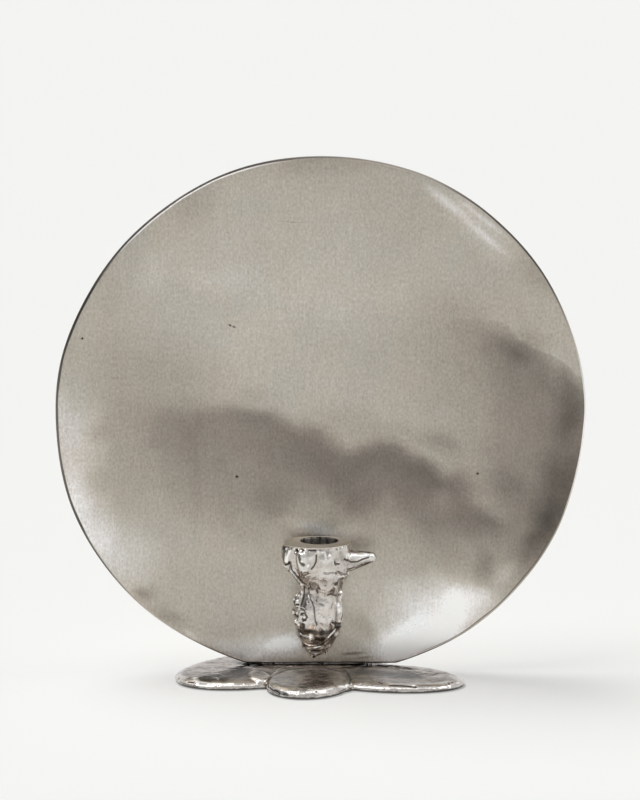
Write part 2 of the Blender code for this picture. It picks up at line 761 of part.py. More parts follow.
def build_base_screws(holder, material):
    """The countersunk screws that come up through the foot into the plate."""
    head, shank = BASE_SCREW_HEAD / 2, BASE_SCREW_DIAMETER / 2
    point = BASE_SCREW_DIAMETER / 8
    countersunk = [
        (0, 0),
        (head, 0),
        (shank, -BASE_SCREW_HEAD_HEIGHT),
        (shank, point - BASE_SCREW_LENGTH),
        (shank - point, -BASE_SCREW_LENGTH),
        (0, -BASE_SCREW_LENGTH),
    ]
    to_floor = (math.radians(180), 0, 0)
    for end, x in BASE_SCREW_PLACES.items():
        place = (x, BASE_SCREW_Y, BASE_UNDERSIDE + GAP)
        screw = holder.piece(
            f"base_screw_{end}", outline_edges(countersunk), material, place, to_floor
        )
        turn_profile(screw)
        key = holder.cutter(
            f"base_screw_key_{end}",
            key_rod(BASE_SCREW_KEY),
            (x, BASE_SCREW_Y, BASE_UNDERSIDE + GAP - OVERCUT),
            to_floor,
        )
        combine(screw, key)


def main():
    """Build the holder."""
    clear_scene()
    holder = Holder()
    satin = finish("satin_nickel", (0.66, 0.63, 0.58), 1.0, 0.42)
    polished = finish("polished_nickel", (0.72, 0.69, 0.65), 1.0, 0.12)
    steel = finish("screw_steel", (0.60, 0.60, 0.60), 1.0, 0.35)
    felt = finish("felt", (0.05, 0.05, 0.05), 0.0, 0.95)
    build_plate(holder, satin)
    build_base(holder, polished)
    build_pads(holder, felt)
    build_socket(holder, polished)
    build_socket_screws(holder, steel)
    build_base_screws(holder, steel)


main()
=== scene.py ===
"""Looks of the drip candle holder: a satin plate, a drip-cast socket and a foot of metal puddles.

Lengths are in metres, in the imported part's own frame: X to the right, Y to the back, Z up from the
floor. Places that lie on the plate or near it are written in millimetres from the middle of the
plate's front face at floor level, as a maker would measure them.
"""

import logging
import math
from dataclasses import dataclass, field
from enum import Enum
from typing import Any, Optional, Sequence, Union

import bmesh
import bpy
import numpy as np
from mathutils import Matrix, Vector, noise
from mathutils.bvhtree import BVHTree

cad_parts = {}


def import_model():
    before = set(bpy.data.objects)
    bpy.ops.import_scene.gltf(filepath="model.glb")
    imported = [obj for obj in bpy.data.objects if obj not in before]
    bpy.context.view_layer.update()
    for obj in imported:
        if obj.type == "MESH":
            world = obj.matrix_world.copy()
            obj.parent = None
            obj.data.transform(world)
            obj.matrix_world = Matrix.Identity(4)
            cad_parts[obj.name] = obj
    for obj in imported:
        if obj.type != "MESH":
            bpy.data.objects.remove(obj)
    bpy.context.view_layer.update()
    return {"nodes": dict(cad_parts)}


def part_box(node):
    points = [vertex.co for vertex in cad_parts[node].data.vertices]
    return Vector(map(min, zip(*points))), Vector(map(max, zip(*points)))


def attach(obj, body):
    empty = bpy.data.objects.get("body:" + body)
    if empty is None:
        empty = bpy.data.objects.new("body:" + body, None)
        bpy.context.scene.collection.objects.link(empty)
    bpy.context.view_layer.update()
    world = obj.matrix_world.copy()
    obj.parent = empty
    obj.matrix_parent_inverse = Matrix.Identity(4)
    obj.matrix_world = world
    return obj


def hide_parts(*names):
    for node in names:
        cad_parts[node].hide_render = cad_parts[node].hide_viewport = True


MM = 0.001
MARK_STEP = 1.5
NEAREST_DROP = 20 * MM
PAGE_HEIGHT = 800

SOCKET_SCREWS = ("socket_screw_lower", "socket_screw_upper")
BASE_SCREWS = ("base_screw_left", "base_screw_centre", "base_screw_right")
FOOT_PADS = ("foot_pad_left", "foot_pad_right", "foot_pad_front", "foot_pad_back")

Item = bpy.types.Object
Shape = bmesh.types.BMesh
Array = np.ndarray
Colour = tuple[float, float, float]
Place = tuple[float, float, float]
Pairs = Sequence[tuple[float, float]]
Points = tuple[tuple[float, float], ...]
Layers = tuple[tuple[float, float, float], ...]
Ring = list[Vector]
Key = Union[str, int]
Settings = Optional[dict[str, Any]]
Inputs = Optional[dict[Key, Any]]

log = logging.getLogger("candle_holder")


class Slot(Enum):
    """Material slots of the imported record."""

    PLATE = "plate"
    BASE = "base"
    SOCKET = "socket"
    FASTENER = "fastener"
    PAD = "pad"


class Value:
    """A number that a shader works out, usable in ordinary maths."""

    def __init__(self, graph: "Graph", socket: bpy.types.NodeSocket) -> None:
        """Wraps an output socket of a graph."""
        self.graph = graph
        self.socket = socket

    def __add__(self, other: "Number") -> "Value":
        """This value plus another."""
        return self.graph.math("ADD", self, other)

    __radd__ = __add__

    def __sub__(self, other: "Number") -> "Value":
        """This value minus another."""
        return self.graph.math("SUBTRACT", self, other)

    def __rsub__(self, other: "Number") -> "Value":
        """Another value minus this one."""
        return self.graph.math("SUBTRACT", other, self)

    def __mul__(self, other: "Number") -> "Value":
        """This value times another."""
        return self.graph.math("MULTIPLY", self, other)

    __rmul__ = __mul__

    def __truediv__(self, other: "Number") -> "Value":
        """This value over another."""
        return self.graph.math("DIVIDE", self, other)

    def __abs__(self) -> "Value":
        """This value without its sign."""
        return self.graph.math("ABSOLUTE", self)

    def smooth(self, low: float, high: float) -> "Value":
        """A smooth step from 0 at low to 1 at high, which may lie below low."""
        inputs = {"Value": self, "From Min": low, "From Max": high}
        return self.graph.value("MapRange", {"interpolation_type": "SMOOTHSTEP"}, inputs)

    def band(self, start: float, full: float, ebb: float, end: float) -> "Value":
        """1 from full to ebb, fading to 0 at start and at end."""
        return self.smooth(start, full) * self.smooth(end, ebb)

    def at_least(self, floor: "Number") -> "Value":
        """The greater of this value and another."""
        return self.graph.math("MAXIMUM", self, floor)

    def at_most(self, ceiling: "Number") -> "Value":
        """The lesser of this value and another."""
        return self.graph.math("MINIMUM", self, ceiling)


Number = Union[Value, float]


class Graph:
    """A shader's node tree, with the few ways in which this script adds to it."""

    def __init__(self, tree: bpy.types.NodeTree) -> None:
        """Takes an empty or default node tree."""
        self.tree = tree

    def node(self, kind: str, settings: Settings = None, inputs: Inputs = None) -> bpy.types.Node:
        """Adds one node.

        Args:
            kind: the node's type without its ShaderNode prefix.
            settings: properties of the node, set first; "stops" fills a ramp and "points" a curve.
            inputs: a value, a colour or a link for each socket, by its name or its number.

        Returns:
            The node.
        """
        made = self.tree.nodes.new(f"ShaderNode{kind}")
        for name, setting in (settings or {}).items():
            if name == "stops":
                self._fill_ramp(made.color_ramp, setting)
            elif name == "points":
                self._fill_curve(made.mapping, setting)
            else:
                setattr(made, name, setting)
        for key, given in (inputs or {}).items():
            if isinstance(given, Value):
                self.tree.links.new(given.socket, made.inputs[key])
            else:
                made.inputs[key].default_value = given
        return made

    def value(self, kind: str, settings: Settings = None, inputs: Inputs = None, output: Key = 0) -> Value:
        """Adds one node, as node does, and takes one of its outputs by its name or number."""
        return Value(self, self.node(kind, settings, inputs).outputs[output])

    def math(self, operation: str, *terms: Number) -> Value:
        """Adds one Math node on the terms, in their order."""
        return self.value("Math", {"operation": operation}, dict(enumerate(terms)))

    def vector(self, operation: str, *terms: Any, output: Key = 0) -> Value:
        """Adds one Vector Math node on the terms, in their order."""
        return self.value("VectorMath", {"operation": operation}, dict(enumerate(terms)), output)

    def dot(self, first: Value, second: Sequence[float]) -> Value:
        """How far a vector reaches along a fixed one."""
        return self.vector("DOT_PRODUCT", first, second, output="Value")

    def height(self, where: Value) -> Value:
        """A point's height."""
        return self.dot(where, (0.0, 0.0, 1.0))

    def place(self) -> Value:
        """The shaded point, in the part's frame."""
        return self.value("TexCoord", output="Object")

    def noise(self, where: Value, size: float, detail: float = 2.0, rough: float = 0.5) -> Value:
        """Soft noise near 0.5, with blotches of a size in metres and finer layers over them."""
        inputs = {"Vector": where, "Scale": 1 / size, "Detail": detail, "Roughness": rough}
        return self.value("TexNoise", None, inputs)

    def stretched(self, where: Value, shares: Sequence[float]) -> Value:
        """The point with its axes multiplied, so that noise read there is drawn out."""
        return self.vector("MULTIPLY", where, tuple(shares))

    def mix(self, share: Number, first: Any, second: Any, blend: str = "MIX") -> Value:
        """Mixes two colours.

        Args:
            share: how much of the second there is.
            first: a colour of three numbers or a link to one.
            second: a colour of three numbers or a link to one.
            blend: Blender's name of the blend.

        Returns:
            The mixed colour.
        """
        settings = {"data_type": "RGBA", "blend_type": blend}
        ends = [end if isinstance(end, Value) else (*end, 1.0) for end in (first, second)]
        return self.value("Mix", settings, {0: share, 6: ends[0], 7: ends[1]}, 2)

    def attribute(self, name: str) -> Value:
        """A number that the mesh holds at each point."""
        return self.value("Attribute", {"attribute_name": name}, output="Fac")

    @staticmethod
    def _fill_ramp(ramp: bpy.types.ColorRamp, stops: Sequence[tuple[float, Colour]]) -> None:
        """Gives a colour ramp its stops.

        Args:
            ramp: the ramp.
            stops: the place and colour of each stop.
        """
        while len(ramp.elements) < len(stops):
            ramp.elements.new(1.0)
        for element, (position, colour) in zip(ramp.elements, stops):
            element.position = position
            element.color = (*colour, 1.0)

    @staticmethod
    def _fill_curve(mapping: bpy.types.CurveMapping, points: Pairs) -> None:
        """Gives a curve its points.

        Args:
            mapping: the curve's mapping.
            points: its points, from 0 to 1 both ways.
        """
        curve = mapping.curves[0]
        while len(curve.points) < len(points):
            curve.points.new(1.0, 1.0)
        for point, place in zip(curve.points, points):
            point.location = place
        mapping.extend = "HORIZONTAL"
        mapping.update()


class Finish:
    """How a surface looks: a Principled shader fed by a graph."""

    name: str
    metallic: float
    roughness: float

    def colour(self, graph: Graph) -> Value:
        """The surface's colour."""
        raise NotImplementedError

    def sheen_of(self, graph: Graph) -> Optional[Value]:
        """The surface's roughness where it varies."""
        return None

    def relief(self, graph: Graph) -> Optional[tuple[Value, float]]:
        """The fine relief's height, from 0 to 1, and its depth in metres."""
        return None

    def material(self) -> bpy.types.Material:
        """Builds the material.

        Returns:
            The material, ready to be put on a mesh.
        """
        made = bpy.data.materials.new(self.name)
        made.use_nodes = True
        graph = Graph(made.node_tree)
        shader = made.node_tree.nodes["Principled BSDF"]
        shader.inputs["Metallic"].default_value = self.metallic
        shader.inputs["Roughness"].default_value = self.roughness
        graph.tree.links.new(self.colour(graph).socket, shader.inputs["Base Color"])
        roughness = self.sheen_of(graph)
        if roughness:
            graph.tree.links.new(roughness.socket, shader.inputs["Roughness"])
        relief = self.relief(graph)
        if relief:
            height, depth = relief
            bump = graph.value("Bump", None, {"Height": height, "Distance": depth}, "Normal")
            graph.tree.links.new(bump.socket, shader.inputs["Normal"])
        return made


@dataclass(frozen=True)
class Cloud:
    """A soft blotch of lighter or darker tone on the plate, in mm from the plate's middle: patina, painted
    reflections and highlights, or a mask.
    """

    x: float
    z: float
    half_length: float
    half_width: float
    turn: float
    tone: float

    def shade(self, graph: Graph, where: Value) -> Value:
        """The blotch's part of the tone.

        Args:
            graph: the shader's graph.
            where: the point, in metres from the plate's middle.

        Returns:
            Its tone in the middle, fading to 0 at its edge.
        """
        mapping = {
            "Vector": where,
            "Location": (self.x * MM, 0, self.z * MM),
            "Rotation": (0, math.radians(-self.turn), 0),
            "Scale": (self.half_length * MM, 1.0, self.half_width * MM),
        }
        local = graph.value("Mapping", {"vector_type": "TEXTURE"}, mapping)
        reach = graph.vector("LENGTH", local, output="Value")
        return reach.smooth(1.0, 0.0) * self.tone


@dataclass(frozen=True)
class Haze:
    """A dark band of painted reflection, partly smoky patina, that starts along a line and fades out below
    it, in mm from the plate's middle.
    """

    line: Points
    strength: Points
    fall: Points
    tone: float

    def shade(self, graph: Graph, where: Value, half: float, reach: float) -> Value:
        """The haze's share of the tone.

        Args:
            graph: the shader's graph.
            where: the point, in metres from the plate's middle.
            half: half the plate's width.
            reach: how far below its line the haze can run.

        Returns:
            What the haze adds to the tone.
        """
        split = graph.node("SeparateXYZ", None, {0: where})
        across = Value(graph, split.outputs["X"]) / (2 * half) + 0.5
        height = Value(graph, split.outputs["Z"])
        line = self._curve(graph, across, self.line, half, 2 * half)
        strength = self._curve(graph, across, self.strength, half, 1)
        below = ((line - 0.5) * (2 * half) - height) / reach
        falls = [(depth * MM / reach, amount) for depth, amount in self.fall]
        fall = graph.value("FloatCurve", {"points": falls}, {"Value": below})
        return strength * fall * self.tone

    @staticmethod
    def _curve(graph: Graph, across: Value, points: Pairs, half: float, span: float) -> Value:
        """A curve over the plate's width.

        Args:
            graph: the shader's graph.
            across: the place over the width, from 0 to 1.
            points: places in mm from the middle, with a height in mm or an amount for each.
            half: half the plate's width.
            span: what heights become shares of; 1 leaves amounts as they are.

        Returns:
            The share or the amount.
        """
        tall = span != 1
        places = [
            (x * MM / (2 * half) + 0.5, amount * MM / span + 0.5 if tall else amount)
            for x, amount in points
        ]
        return graph.value("FloatCurve", {"points": places}, {"Value": across})


@dataclass(frozen=True)
class SatinNickel(Finish):
    """Nickel plate brushed up and down, with smoky patina, painted reflections, fine scratches and a few
    pits.

    Bands and edges are shares of the way round the plate's edge, from a face to the rim.
    """

    name: str = "satin_nickel"
    metallic: float = 1.0
    roughness: float = 0.36
    middle: Place = (0.0, 0.0, 0.0)
    half_width: float = 160 * MM
    face: float = 0.0
    thickness: float = 6 * MM
    tone: float = 0.465
    tones: tuple[tuple[float, Colour], ...] = (
        (0.00, (0.010, 0.008, 0.006)), (0.21, (0.222, 0.196, 0.170)), (0.38, (0.406, 0.365, 0.312)),
        (0.535, (0.554, 0.515, 0.455)), (0.77, (0.780, 0.750, 0.725)), (1.00, (1.0, 1.0, 1.0)),
    )
    cool: Colour = (0.985, 1.0, 1.008)
    warm: Colour = (1.015, 1.0, 0.992)
    # clouds and hazes: patina and painted reflections
    clouds: tuple[Cloud, ...] = ()
    hazes: tuple[Haze, ...] = ()
    scars_and_dent_glints: tuple[Cloud, ...] = ()
    # painted reflections in the rim's tone
    rim_reflections: tuple[Cloud, ...] = ()
    polished: tuple[Cloud, ...] = ()
    # a painted highlight, a painted dark line and a painted dark edge in the rim
    glints: tuple[Cloud, ...] = ()
    lines: tuple[Cloud, ...] = ()
    thick: tuple[Cloud, ...] = ()
    # the rim's painted dark tone, and the bands of its painted glint and dark line
    painted_rim_tone: float = 0.07
    dark_edge: tuple[float, float] = (0.24, 0.36)
    thick_edge: tuple[float, float] = (0.02, 0.14)
    glint_tone: float = 0.98
    glint_band: tuple[float, float, float, float] = (0.0, 0.06, 0.20, 0.34)
    line_tone: float = 0.12
    line_band: tuple[float, float, float, float] = (0.0, 0.04, 0.14, 0.24)
    blotch: float = 0.10
    mottle: float = 0.05
    brushing: float = 0.95
    speckle: float = 0.20
    pitting: float = 0.42
    dull_marks: float = 0.22
    dull_blotches: float = 0.12
    drift: float = 7 * MM
    drift_size: float = 38 * MM
    least_rough: float = 0.12

    def colour(self, graph: Graph) -> Value:
        """The tone of the patina and the painted reflections, through a ramp from smoky brown to clean
        nickel.

        Args:
            graph: the shader's graph.

        Returns:
            The colour.
        """
        place = graph.place()
        offset = graph.vector("SUBTRACT", place, self.middle)
        painted = self._painted(graph, place, offset)
        depth = self._depth(graph, place)
        front = depth.smooth(0.7 * self.thickness, 0.3 * self.thickness)
        tone = painted * front + self.tone
        tone = tone + (graph.noise(place, 60 * MM, 3.0) - 0.5) * self.blotch
        tone = tone + (graph.noise(place, 9 * MM, 3.0, 0.6) - 0.5) * self.mottle
        tone = tone * (self._grain(graph, place) * self.brushing + (1 - self.brushing / 2))
        fine = graph.noise(place, 2.8 * MM, 3.0, 0.6)
        tone = tone * (fine * self.speckle + (1 - self.speckle / 2))
        tone = tone * (1 - self._pits(graph, place) * self.pitting)
        # pits and scratches, and painted highlights along a dent
        for scar in self.scars_and_dent_glints:
            tone = scar.shade(graph, offset) * front + tone
        # painted reflections in the rim
        tone = self._rimmed(graph, offset, tone)
        plain = graph.value("ValToRGB", {"stops": self.tones}, {"Fac": tone}, "Color")
        warm = graph.noise(place, 42 * MM, 4.0, 0.62).smooth(0.36, 0.64)
        tint = graph.mix(warm, self.cool, self.warm)
        return graph.mix(1.0, plain, tint, "MULTIPLY")

    def sheen_of(self, graph: Graph) -> Value:
        """Roughness: duller on brush marks and brighter on polished patches.

        Args:
            graph: the shader's graph.

        Returns:
            The roughness.
        """
        place = graph.place()
        blotches = graph.noise(place, 34 * MM, 3.0)
        marks = (self._grain(graph, place) - 0.5) * self.dull_marks
        sheen = marks + (blotches - 0.5) * self.dull_blotches + self.roughness
        offset = graph.vector("SUBTRACT", place, self.middle)
        for patch in self.polished:
            sheen = sheen - patch.shade(graph, offset)
        return sheen.at_least(self.least_rough)

    def relief(self, graph: Graph) -> tuple[Value, float]:
        """Brush marks and pits."""
        place = graph.place()
        return self._grain(graph, place) * 0.5 - self._pits(graph, place), 0.05 * MM

    def _painted(self, graph: Graph, place: Value, offset: Value) -> Value:
        """The clouds and hazes, patina and painted reflections, with their outlines drawn about by a swirl.

        Args:
            graph: the shader's graph.
            place: the shaded point.
            offset: the same point, from the plate's middle.

        Returns:
            What they add to the tone.
        """
        inputs = {"Vector": place, "Scale": 1 / self.drift_size, "Detail": 2.0}
        swirl = graph.value("TexNoise", None, inputs, "Color")
        swirl = graph.vector("SUBTRACT", swirl, (0.5, 0.5, 0.5))
        swirl = graph.vector("MULTIPLY", swirl, (4 * self.drift, 0.0, 4 * self.drift))
        where = graph.vector("ADD", offset, swirl)
        painted = 0.0
        for cloud in self.clouds:
            painted = cloud.shade(graph, where) + painted
        for haze in self.hazes:
            painted = haze.shade(graph, where, self.half_width, self.half_width) + painted
        return painted

    def _rimmed(self, graph: Graph, offset: Value, tone: Value) -> Value:
        """Lays the rim's painted reflections over the tone: a painted glint, a painted dark line and a
        painted dark edge.

        Args:
            graph: the shader's graph.
            offset: the shaded point, from the plate's middle.
            tone: the tone of the faces.

        Returns:
            The tone of faces and rim.
        """
        rim = graph.attribute("edge")
        painted_rim_tone = self.painted_rim_tone
        for cloud in self.rim_reflections:
            painted_rim_tone = cloud.shade(graph, offset) + painted_rim_tone
        glint = (self.glints, self.glint_band, self.glint_tone)
        for clouds, band, level in (glint, (self.lines, self.line_band, self.line_tone)):
            line = rim.band(*band)
            for cloud in clouds:
                tone = tone + (level - tone) * line * cloud.shade(graph, offset).at_most(1.0)
        dark = rim.smooth(*self.dark_edge)
        for cloud in self.thick:
            dark = dark.at_least(rim.smooth(*self.thick_edge) * cloud.shade(graph, offset).at_most(1.0))
        return tone + (painted_rim_tone - tone) * dark

    def _depth(self, graph: Graph, place: Value) -> Value:
        """How far a point lies behind the front face."""
        return Value(graph, graph.node("SeparateXYZ", None, {0: place}).outputs["Y"]) - self.face

    @staticmethod
    def _grain(graph: Graph, place: Value) -> Value:
        """Brush marks: short fine strokes, a little taller than wide, over faint long ones.

        Args:
            graph: the shader's graph.
            place: the shaded point.

        Returns:
            A value near 0.5.
        """
        long = graph.noise(graph.stretched(place, (1.0, 1.0, 0.08)), 1.3 * MM, 3.0, 0.7)
        short = graph.noise(graph.stretched(place, (1.0, 1.0, 0.62)), 1.25 * MM, 2.0, 0.6)
        return long * 0.24 + short * 0.76

    @staticmethod
    def _pits(graph: Graph, place: Value) -> Value:
        """Small dark specks, scattered and thinned out by a wide noise.

        Args:
            graph: the shader's graph.
            place: the shaded point.

        Returns:
            1 in a speck, 0 elsewhere.
        """
        cells = {"Vector": place, "Scale": 1 / (5 * MM), "Randomness": 1.0}
        gap = graph.value("TexVoronoi", None, cells, "Distance")
        speck = gap.smooth(0.085, 0.03)
        return speck * graph.noise(place, 26 * MM).smooth(0.5, 0.62)


@dataclass(frozen=True)
class CastNickel(Finish):
    """Nickel over a drip casting: rubbed bright on its ridges, brown in its hollows and stains, with painted
    highlights and painted shade.
    """

    name: str = "cast_nickel"
    metallic: float = 1.0
    roughness: float = 0.10
    clean: Colour = (0.66, 0.62, 0.58)
    # rubbed metal, and painted highlights
    rubbed_and_highlight: Colour = (0.95, 0.94, 0.92)
    tarnish: Colour = (0.25, 0.215, 0.18)
    # soot in the bore, and painted shade
    soot_and_shade: Colour = (0.022, 0.018, 0.014)
    film: float = 0.25
    film_size: float = 9 * MM
    fleck: float = 0.4
    sunk: float = 0.8
    peel: float = 0.16 * MM
    ridges: float = 0.45
    # a painted highlight round the foot's lip
    lip_highlight: float = 0.5
    lip_highlight_height: float = 0.0
    # painted shade along the lowest edge
    low_edge_shade: float = 0.85
    low_edge_shade_height: float = 0.0
    ground_height: float = 1.0
    ground: Colour = (0.74, 0.68, 0.58)
    ground_roughness: float = 0.42
    bore: Place = (0.0, 0.0, 0.0)
    bore_radius: float = 0.0

    def colour(self, graph: Graph) -> Value:
        """Nickel under a patchy film, with tarnish in its hollows and on its stains, painted highlights and
        painted shade.

        Args:
            graph: the shader's graph.

        Returns:
            The colour.
        """
        place = graph.place()
        hollow = graph.attribute("hollow")
        stain = graph.attribute("stain")
        patchy = graph.noise(place, self.film_size, 3.0, 0.6).smooth(0.42, 0.66) * self.film
        worn = (hollow.smooth(0.52, 0.95) * self.sunk).at_least(patchy)
        skin = graph.mix(worn, self.clean, self.tarnish)
        fleck = graph.noise(place, 1.5 * MM, 3.0, 0.6).smooth(0.52, 0.66) * self.fleck
        skin = graph.mix(fleck, skin, self.tarnish)
        # painted highlights from the bright marks, and rubbed ridges
        bright = (stain * -1.0).smooth(0.05, 1.0).at_least(hollow.smooth(0.40, 0.08) * self.ridges)
        # a painted highlight low on the lip
        if self.lip_highlight_height:
            lip_highlight = graph.height(place).smooth(self.lip_highlight_height, 0.6 * self.lip_highlight_height)
            bright = bright.at_least(lip_highlight * self.lip_highlight)
        skin = graph.mix(bright, skin, self.rubbed_and_highlight)
        # painted shade and dark reflections from the dark marks, with tarnish
        dark = stain.smooth(0.0, 1.0)
        # painted shade along the lowest edge, next to the floor
        if self.low_edge_shade_height:
            low = graph.height(place) + (graph.noise(place, 5 * MM) - 0.5) * (2 * MM)
            dark = dark.at_least(low.smooth(self.low_edge_shade_height, 0.6 * self.low_edge_shade_height) * self.low_edge_shade)
        skin = graph.mix(dark, skin, self.soot_and_shade)
        skin = graph.mix(self._ground(graph, place), skin, self._ground_tone(graph, place))
        return graph.mix(self._inside(graph, place), skin, self._bore_tone(graph, place))

    def sheen_of(self, graph: Graph) -> Value:
        """Roughness: a mirror on the ridges, duller in the hollows and on ground faces.

        Args:
            graph: the shader's graph.

        Returns:
            The roughness.
        """
        place = graph.place()
        skin = graph.attribute("hollow").smooth(0.45, 1.0) * 0.20 + self.roughness
        skin = skin + (graph.noise(place, self.film_size) - 0.5) * 0.10
        ground = self._ground(graph, place).at_least(self._inside(graph, place))
        return skin + (self.ground_roughness - self.roughness) * ground

    def relief(self, graph: Graph) -> tuple[Value, float]:
        """The fine orange-peel of a cast skin."""
        place = graph.place()
        return graph.noise(place, 2.4 * MM, 3.0, 0.6) * (1 - self._ground(graph, place)), self.peel

    def _ground(self, graph: Graph, place: Value) -> Value:
        """1 on the face that was ground flat on top, fading over its worn edge."""
        height = graph.height(place) + (graph.noise(place, 2.0 * MM) * (1.6 * MM) - 0.8 * MM)
        return height.smooth(self.ground_height - 0.9 * MM, self.ground_height - 0.3 * MM)

    def _ground_tone(self, graph: Graph, place: Value) -> Value:
        """Scoured metal with fine file marks."""
        marks = graph.noise(graph.stretched(place, (0.15, 1.0, 1.0)), 0.8 * MM)
        return graph.mix(marks.smooth(0.35, 0.65) * 0.35, self.ground, self.tarnish)

    def _bore_tone(self, graph: Graph, place: Value) -> Value:
        """Sooty metal with drips of old wax."""
        drips = graph.noise(graph.stretched(place, (1.0, 1.0, 0.3)), 3.0 * MM, 3.0)
        return graph.mix(drips.smooth(0.35, 0.75) * 0.8, self.soot_and_shade, self.clean)

    def _inside(self, graph: Graph, place: Value) -> Value:
        """Where the candle's bore is.

        Args:
            graph: the shader's graph.
            place: the shaded point.

        Returns:
            1 in the bore, and 0 elsewhere.
        """
        offset = graph.vector("SUBTRACT", place, self.bore)
        level = graph.vector("MULTIPLY", offset, (1.0, 1.0, 0.0))
        reach = graph.vector("LENGTH", level, output="Value")
        deep = graph.height(offset).smooth(-0.3 * MM, 0.1 * MM)
        return reach.smooth(self.bore_radius + 0.25 * MM, self.bore_radius + 0.05 * MM) * deep


@dataclass(frozen=True)
class TurnedSteel(Finish):
    """Zinc-plated steel, turned: fine rings, dulled in patches."""

    name: str = "turned_steel"
    metallic: float = 1.0
    roughness: float = 0.30
    clean: Colour = (0.62, 0.62, 0.61)
    dull: Colour = (0.34, 0.33, 0.31)

    def colour(self, graph: Graph) -> Value:
        """Bright zinc with duller patches."""
        patch = graph.noise(graph.place(), 2.2 * MM, 4.0, 0.6).smooth(0.42, 0.68)
        return graph.mix(patch * 0.7, self.clean, self.dull)

    def sheen_of(self, graph: Graph) -> Value:
        """Roughness: a little duller in patches."""
        return (graph.noise(graph.place(), 1.6 * MM, 3.0) - 0.5) * 0.3 + self.roughness

    def relief(self, graph: Graph) -> tuple[Value, float]:
        """Fine tool marks."""
        return graph.noise(graph.place(), 0.35 * MM), 0.02 * MM


@dataclass(frozen=True)
class Felt(Finish):
    """Pressed black wool felt."""

    name: str = "black_felt"
    metallic: float = 0.0
    roughness: float = 0.95
    wool: Colour = (0.035, 0.034, 0.033)
    lint: Colour = (0.11, 0.105, 0.10)

    def colour(self, graph: Graph) -> Value:
        """Dark wool with paler fibres lying across it.

        Args:
            graph: the shader's graph.

        Returns:
            The colour.
        """
        place = graph.place()
        fibre = graph.noise(graph.stretched(place, (1.0, 0.25, 1.0)), 0.35 * MM, 3.0, 0.7)
        other = graph.noise(graph.stretched(place, (0.25, 1.0, 1.0)), 0.35 * MM, 3.0, 0.7)
        return graph.mix(fibre.at_least(other).smooth(0.48, 0.72), self.wool, self.lint)

    def relief(self, graph: Graph) -> tuple[Value, float]:
        """The nap."""
        return graph.noise(graph.place(), 0.3 * MM, 3.0, 0.7), 0.25 * MM


def loft(rings: Sequence[Sequence[Vector]], hoop: bool = False) -> Shape:
    """Skins rings of points into one closed shape.

    Args:
        rings: rings of equal length, from one end to the other.
        hoop: whether the last ring meets the first; otherwise a face closes each end.

    Returns:
        The shape.
    """
    shape = bmesh.new()
    rows = [[shape.verts.new(point) for point in ring] for ring in rings]
    for near, far in zip(rows, rows[1:] + (rows[:1] if hoop else [])):
        for index in range(len(near)):
            ahead = (index + 1) % len(near)
            shape.faces.new((near[index], near[ahead], far[ahead], far[index]))
    if not hoop:
        shape.faces.new(rows[0][::-1])
        shape.faces.new(rows[-1])
    bmesh.ops.recalc_face_normals(shape, faces=shape.faces)
    return shape


def circle(radius: float, height: float, sides: int) -> Ring:
    """A level ring of points about the Z axis."""
    turns = (math.tau * side / sides for side in range(sides))
    return [Vector((radius * math.cos(turn), radius * math.sin(turn), height)) for turn in turns]


def lathe(profile: Pairs, sides: int) -> Shape:
    """Turns a profile of radii and heights about the Z axis into one closed shape."""
    return loft([circle(radius, height, sides) for radius, height in profile])


def add_balls(item: Item, balls: Sequence[tuple[Vector, float]]) -> None:
    """Adds closed balls to an object's mesh.

    Args:
        item: the object.
        balls: the middle and radius of each.
    """
    ball = bmesh.new()
    bmesh.ops.create_icosphere(ball, subdivisions=3, radius=1.0)
    points = np.array([vert.co for vert in ball.verts])
    triangles = np.array([[vert.index for vert in face.verts] for face in ball.faces])
    ball.free()
    places = np.concatenate([points * radius + np.array(middle) for middle, radius in balls])
    faces = np.concatenate([triangles + len(points) * index for index in range(len(balls))])
    balls_mesh = bpy.data.meshes.new("balls")
    balls_mesh.from_pydata(places.tolist(), [], faces.tolist())
    shape = bmesh.new()
    shape.from_mesh(item.data)
    shape.from_mesh(balls_mesh)
    shape.to_mesh(item.data)
    shape.free()
    bpy.data.meshes.remove(balls_mesh)


def shade(mesh: bpy.types.Mesh, sharp: float) -> None:
    """Shades a mesh smooth, and leaves its edges above an angle in degrees sharp."""
    mesh.shade_smooth()
    mesh.set_sharp_from_angle(angle=math.radians(sharp))


def new_object(name: str, shape: Shape, sharp: float = 40.0) -> Item:
    """Makes an object of a shape, at the frame's origin.

    Args:
        name: the object's name.
        shape: what it is made of; it is used up.
        sharp: the angle in degrees above which an edge stays sharp.

    Returns:
        The object, in the scene.
    """
    mesh = bpy.data.meshes.new(name)
    shape.to_mesh(mesh)
    shape.free()
    shade(mesh, sharp)
    item = bpy.data.objects.new(name, mesh)
    bpy.context.scene.collection.objects.link(item)
    return item


def apply_modifiers(item: Item) -> None:
    """Replaces an object's mesh with what its modifiers make of it.

    Args:
        item: the object.
    """
    bpy.context.view_layer.update()
    seen = item.evaluated_get(bpy.context.evaluated_depsgraph_get())
    item.data = bpy.data.meshes.new_from_object(seen)
    item.modifiers.clear()


def cut(item: Item, cutters: Sequence[Item]) -> None:
    """Cuts closed shapes from an object, and uses them up.

    Args:
        item: the object.
        cutters: the closed shapes.
    """
    for cutter in cutters:
        step = item.modifiers.new(cutter.name, "BOOLEAN")
        step.operation = "DIFFERENCE"
        step.solver = "MANIFOLD"
        step.object = cutter
    apply_modifiers(item)
    for cutter in cutters:
        bpy.data.objects.remove(cutter, do_unlink=True)


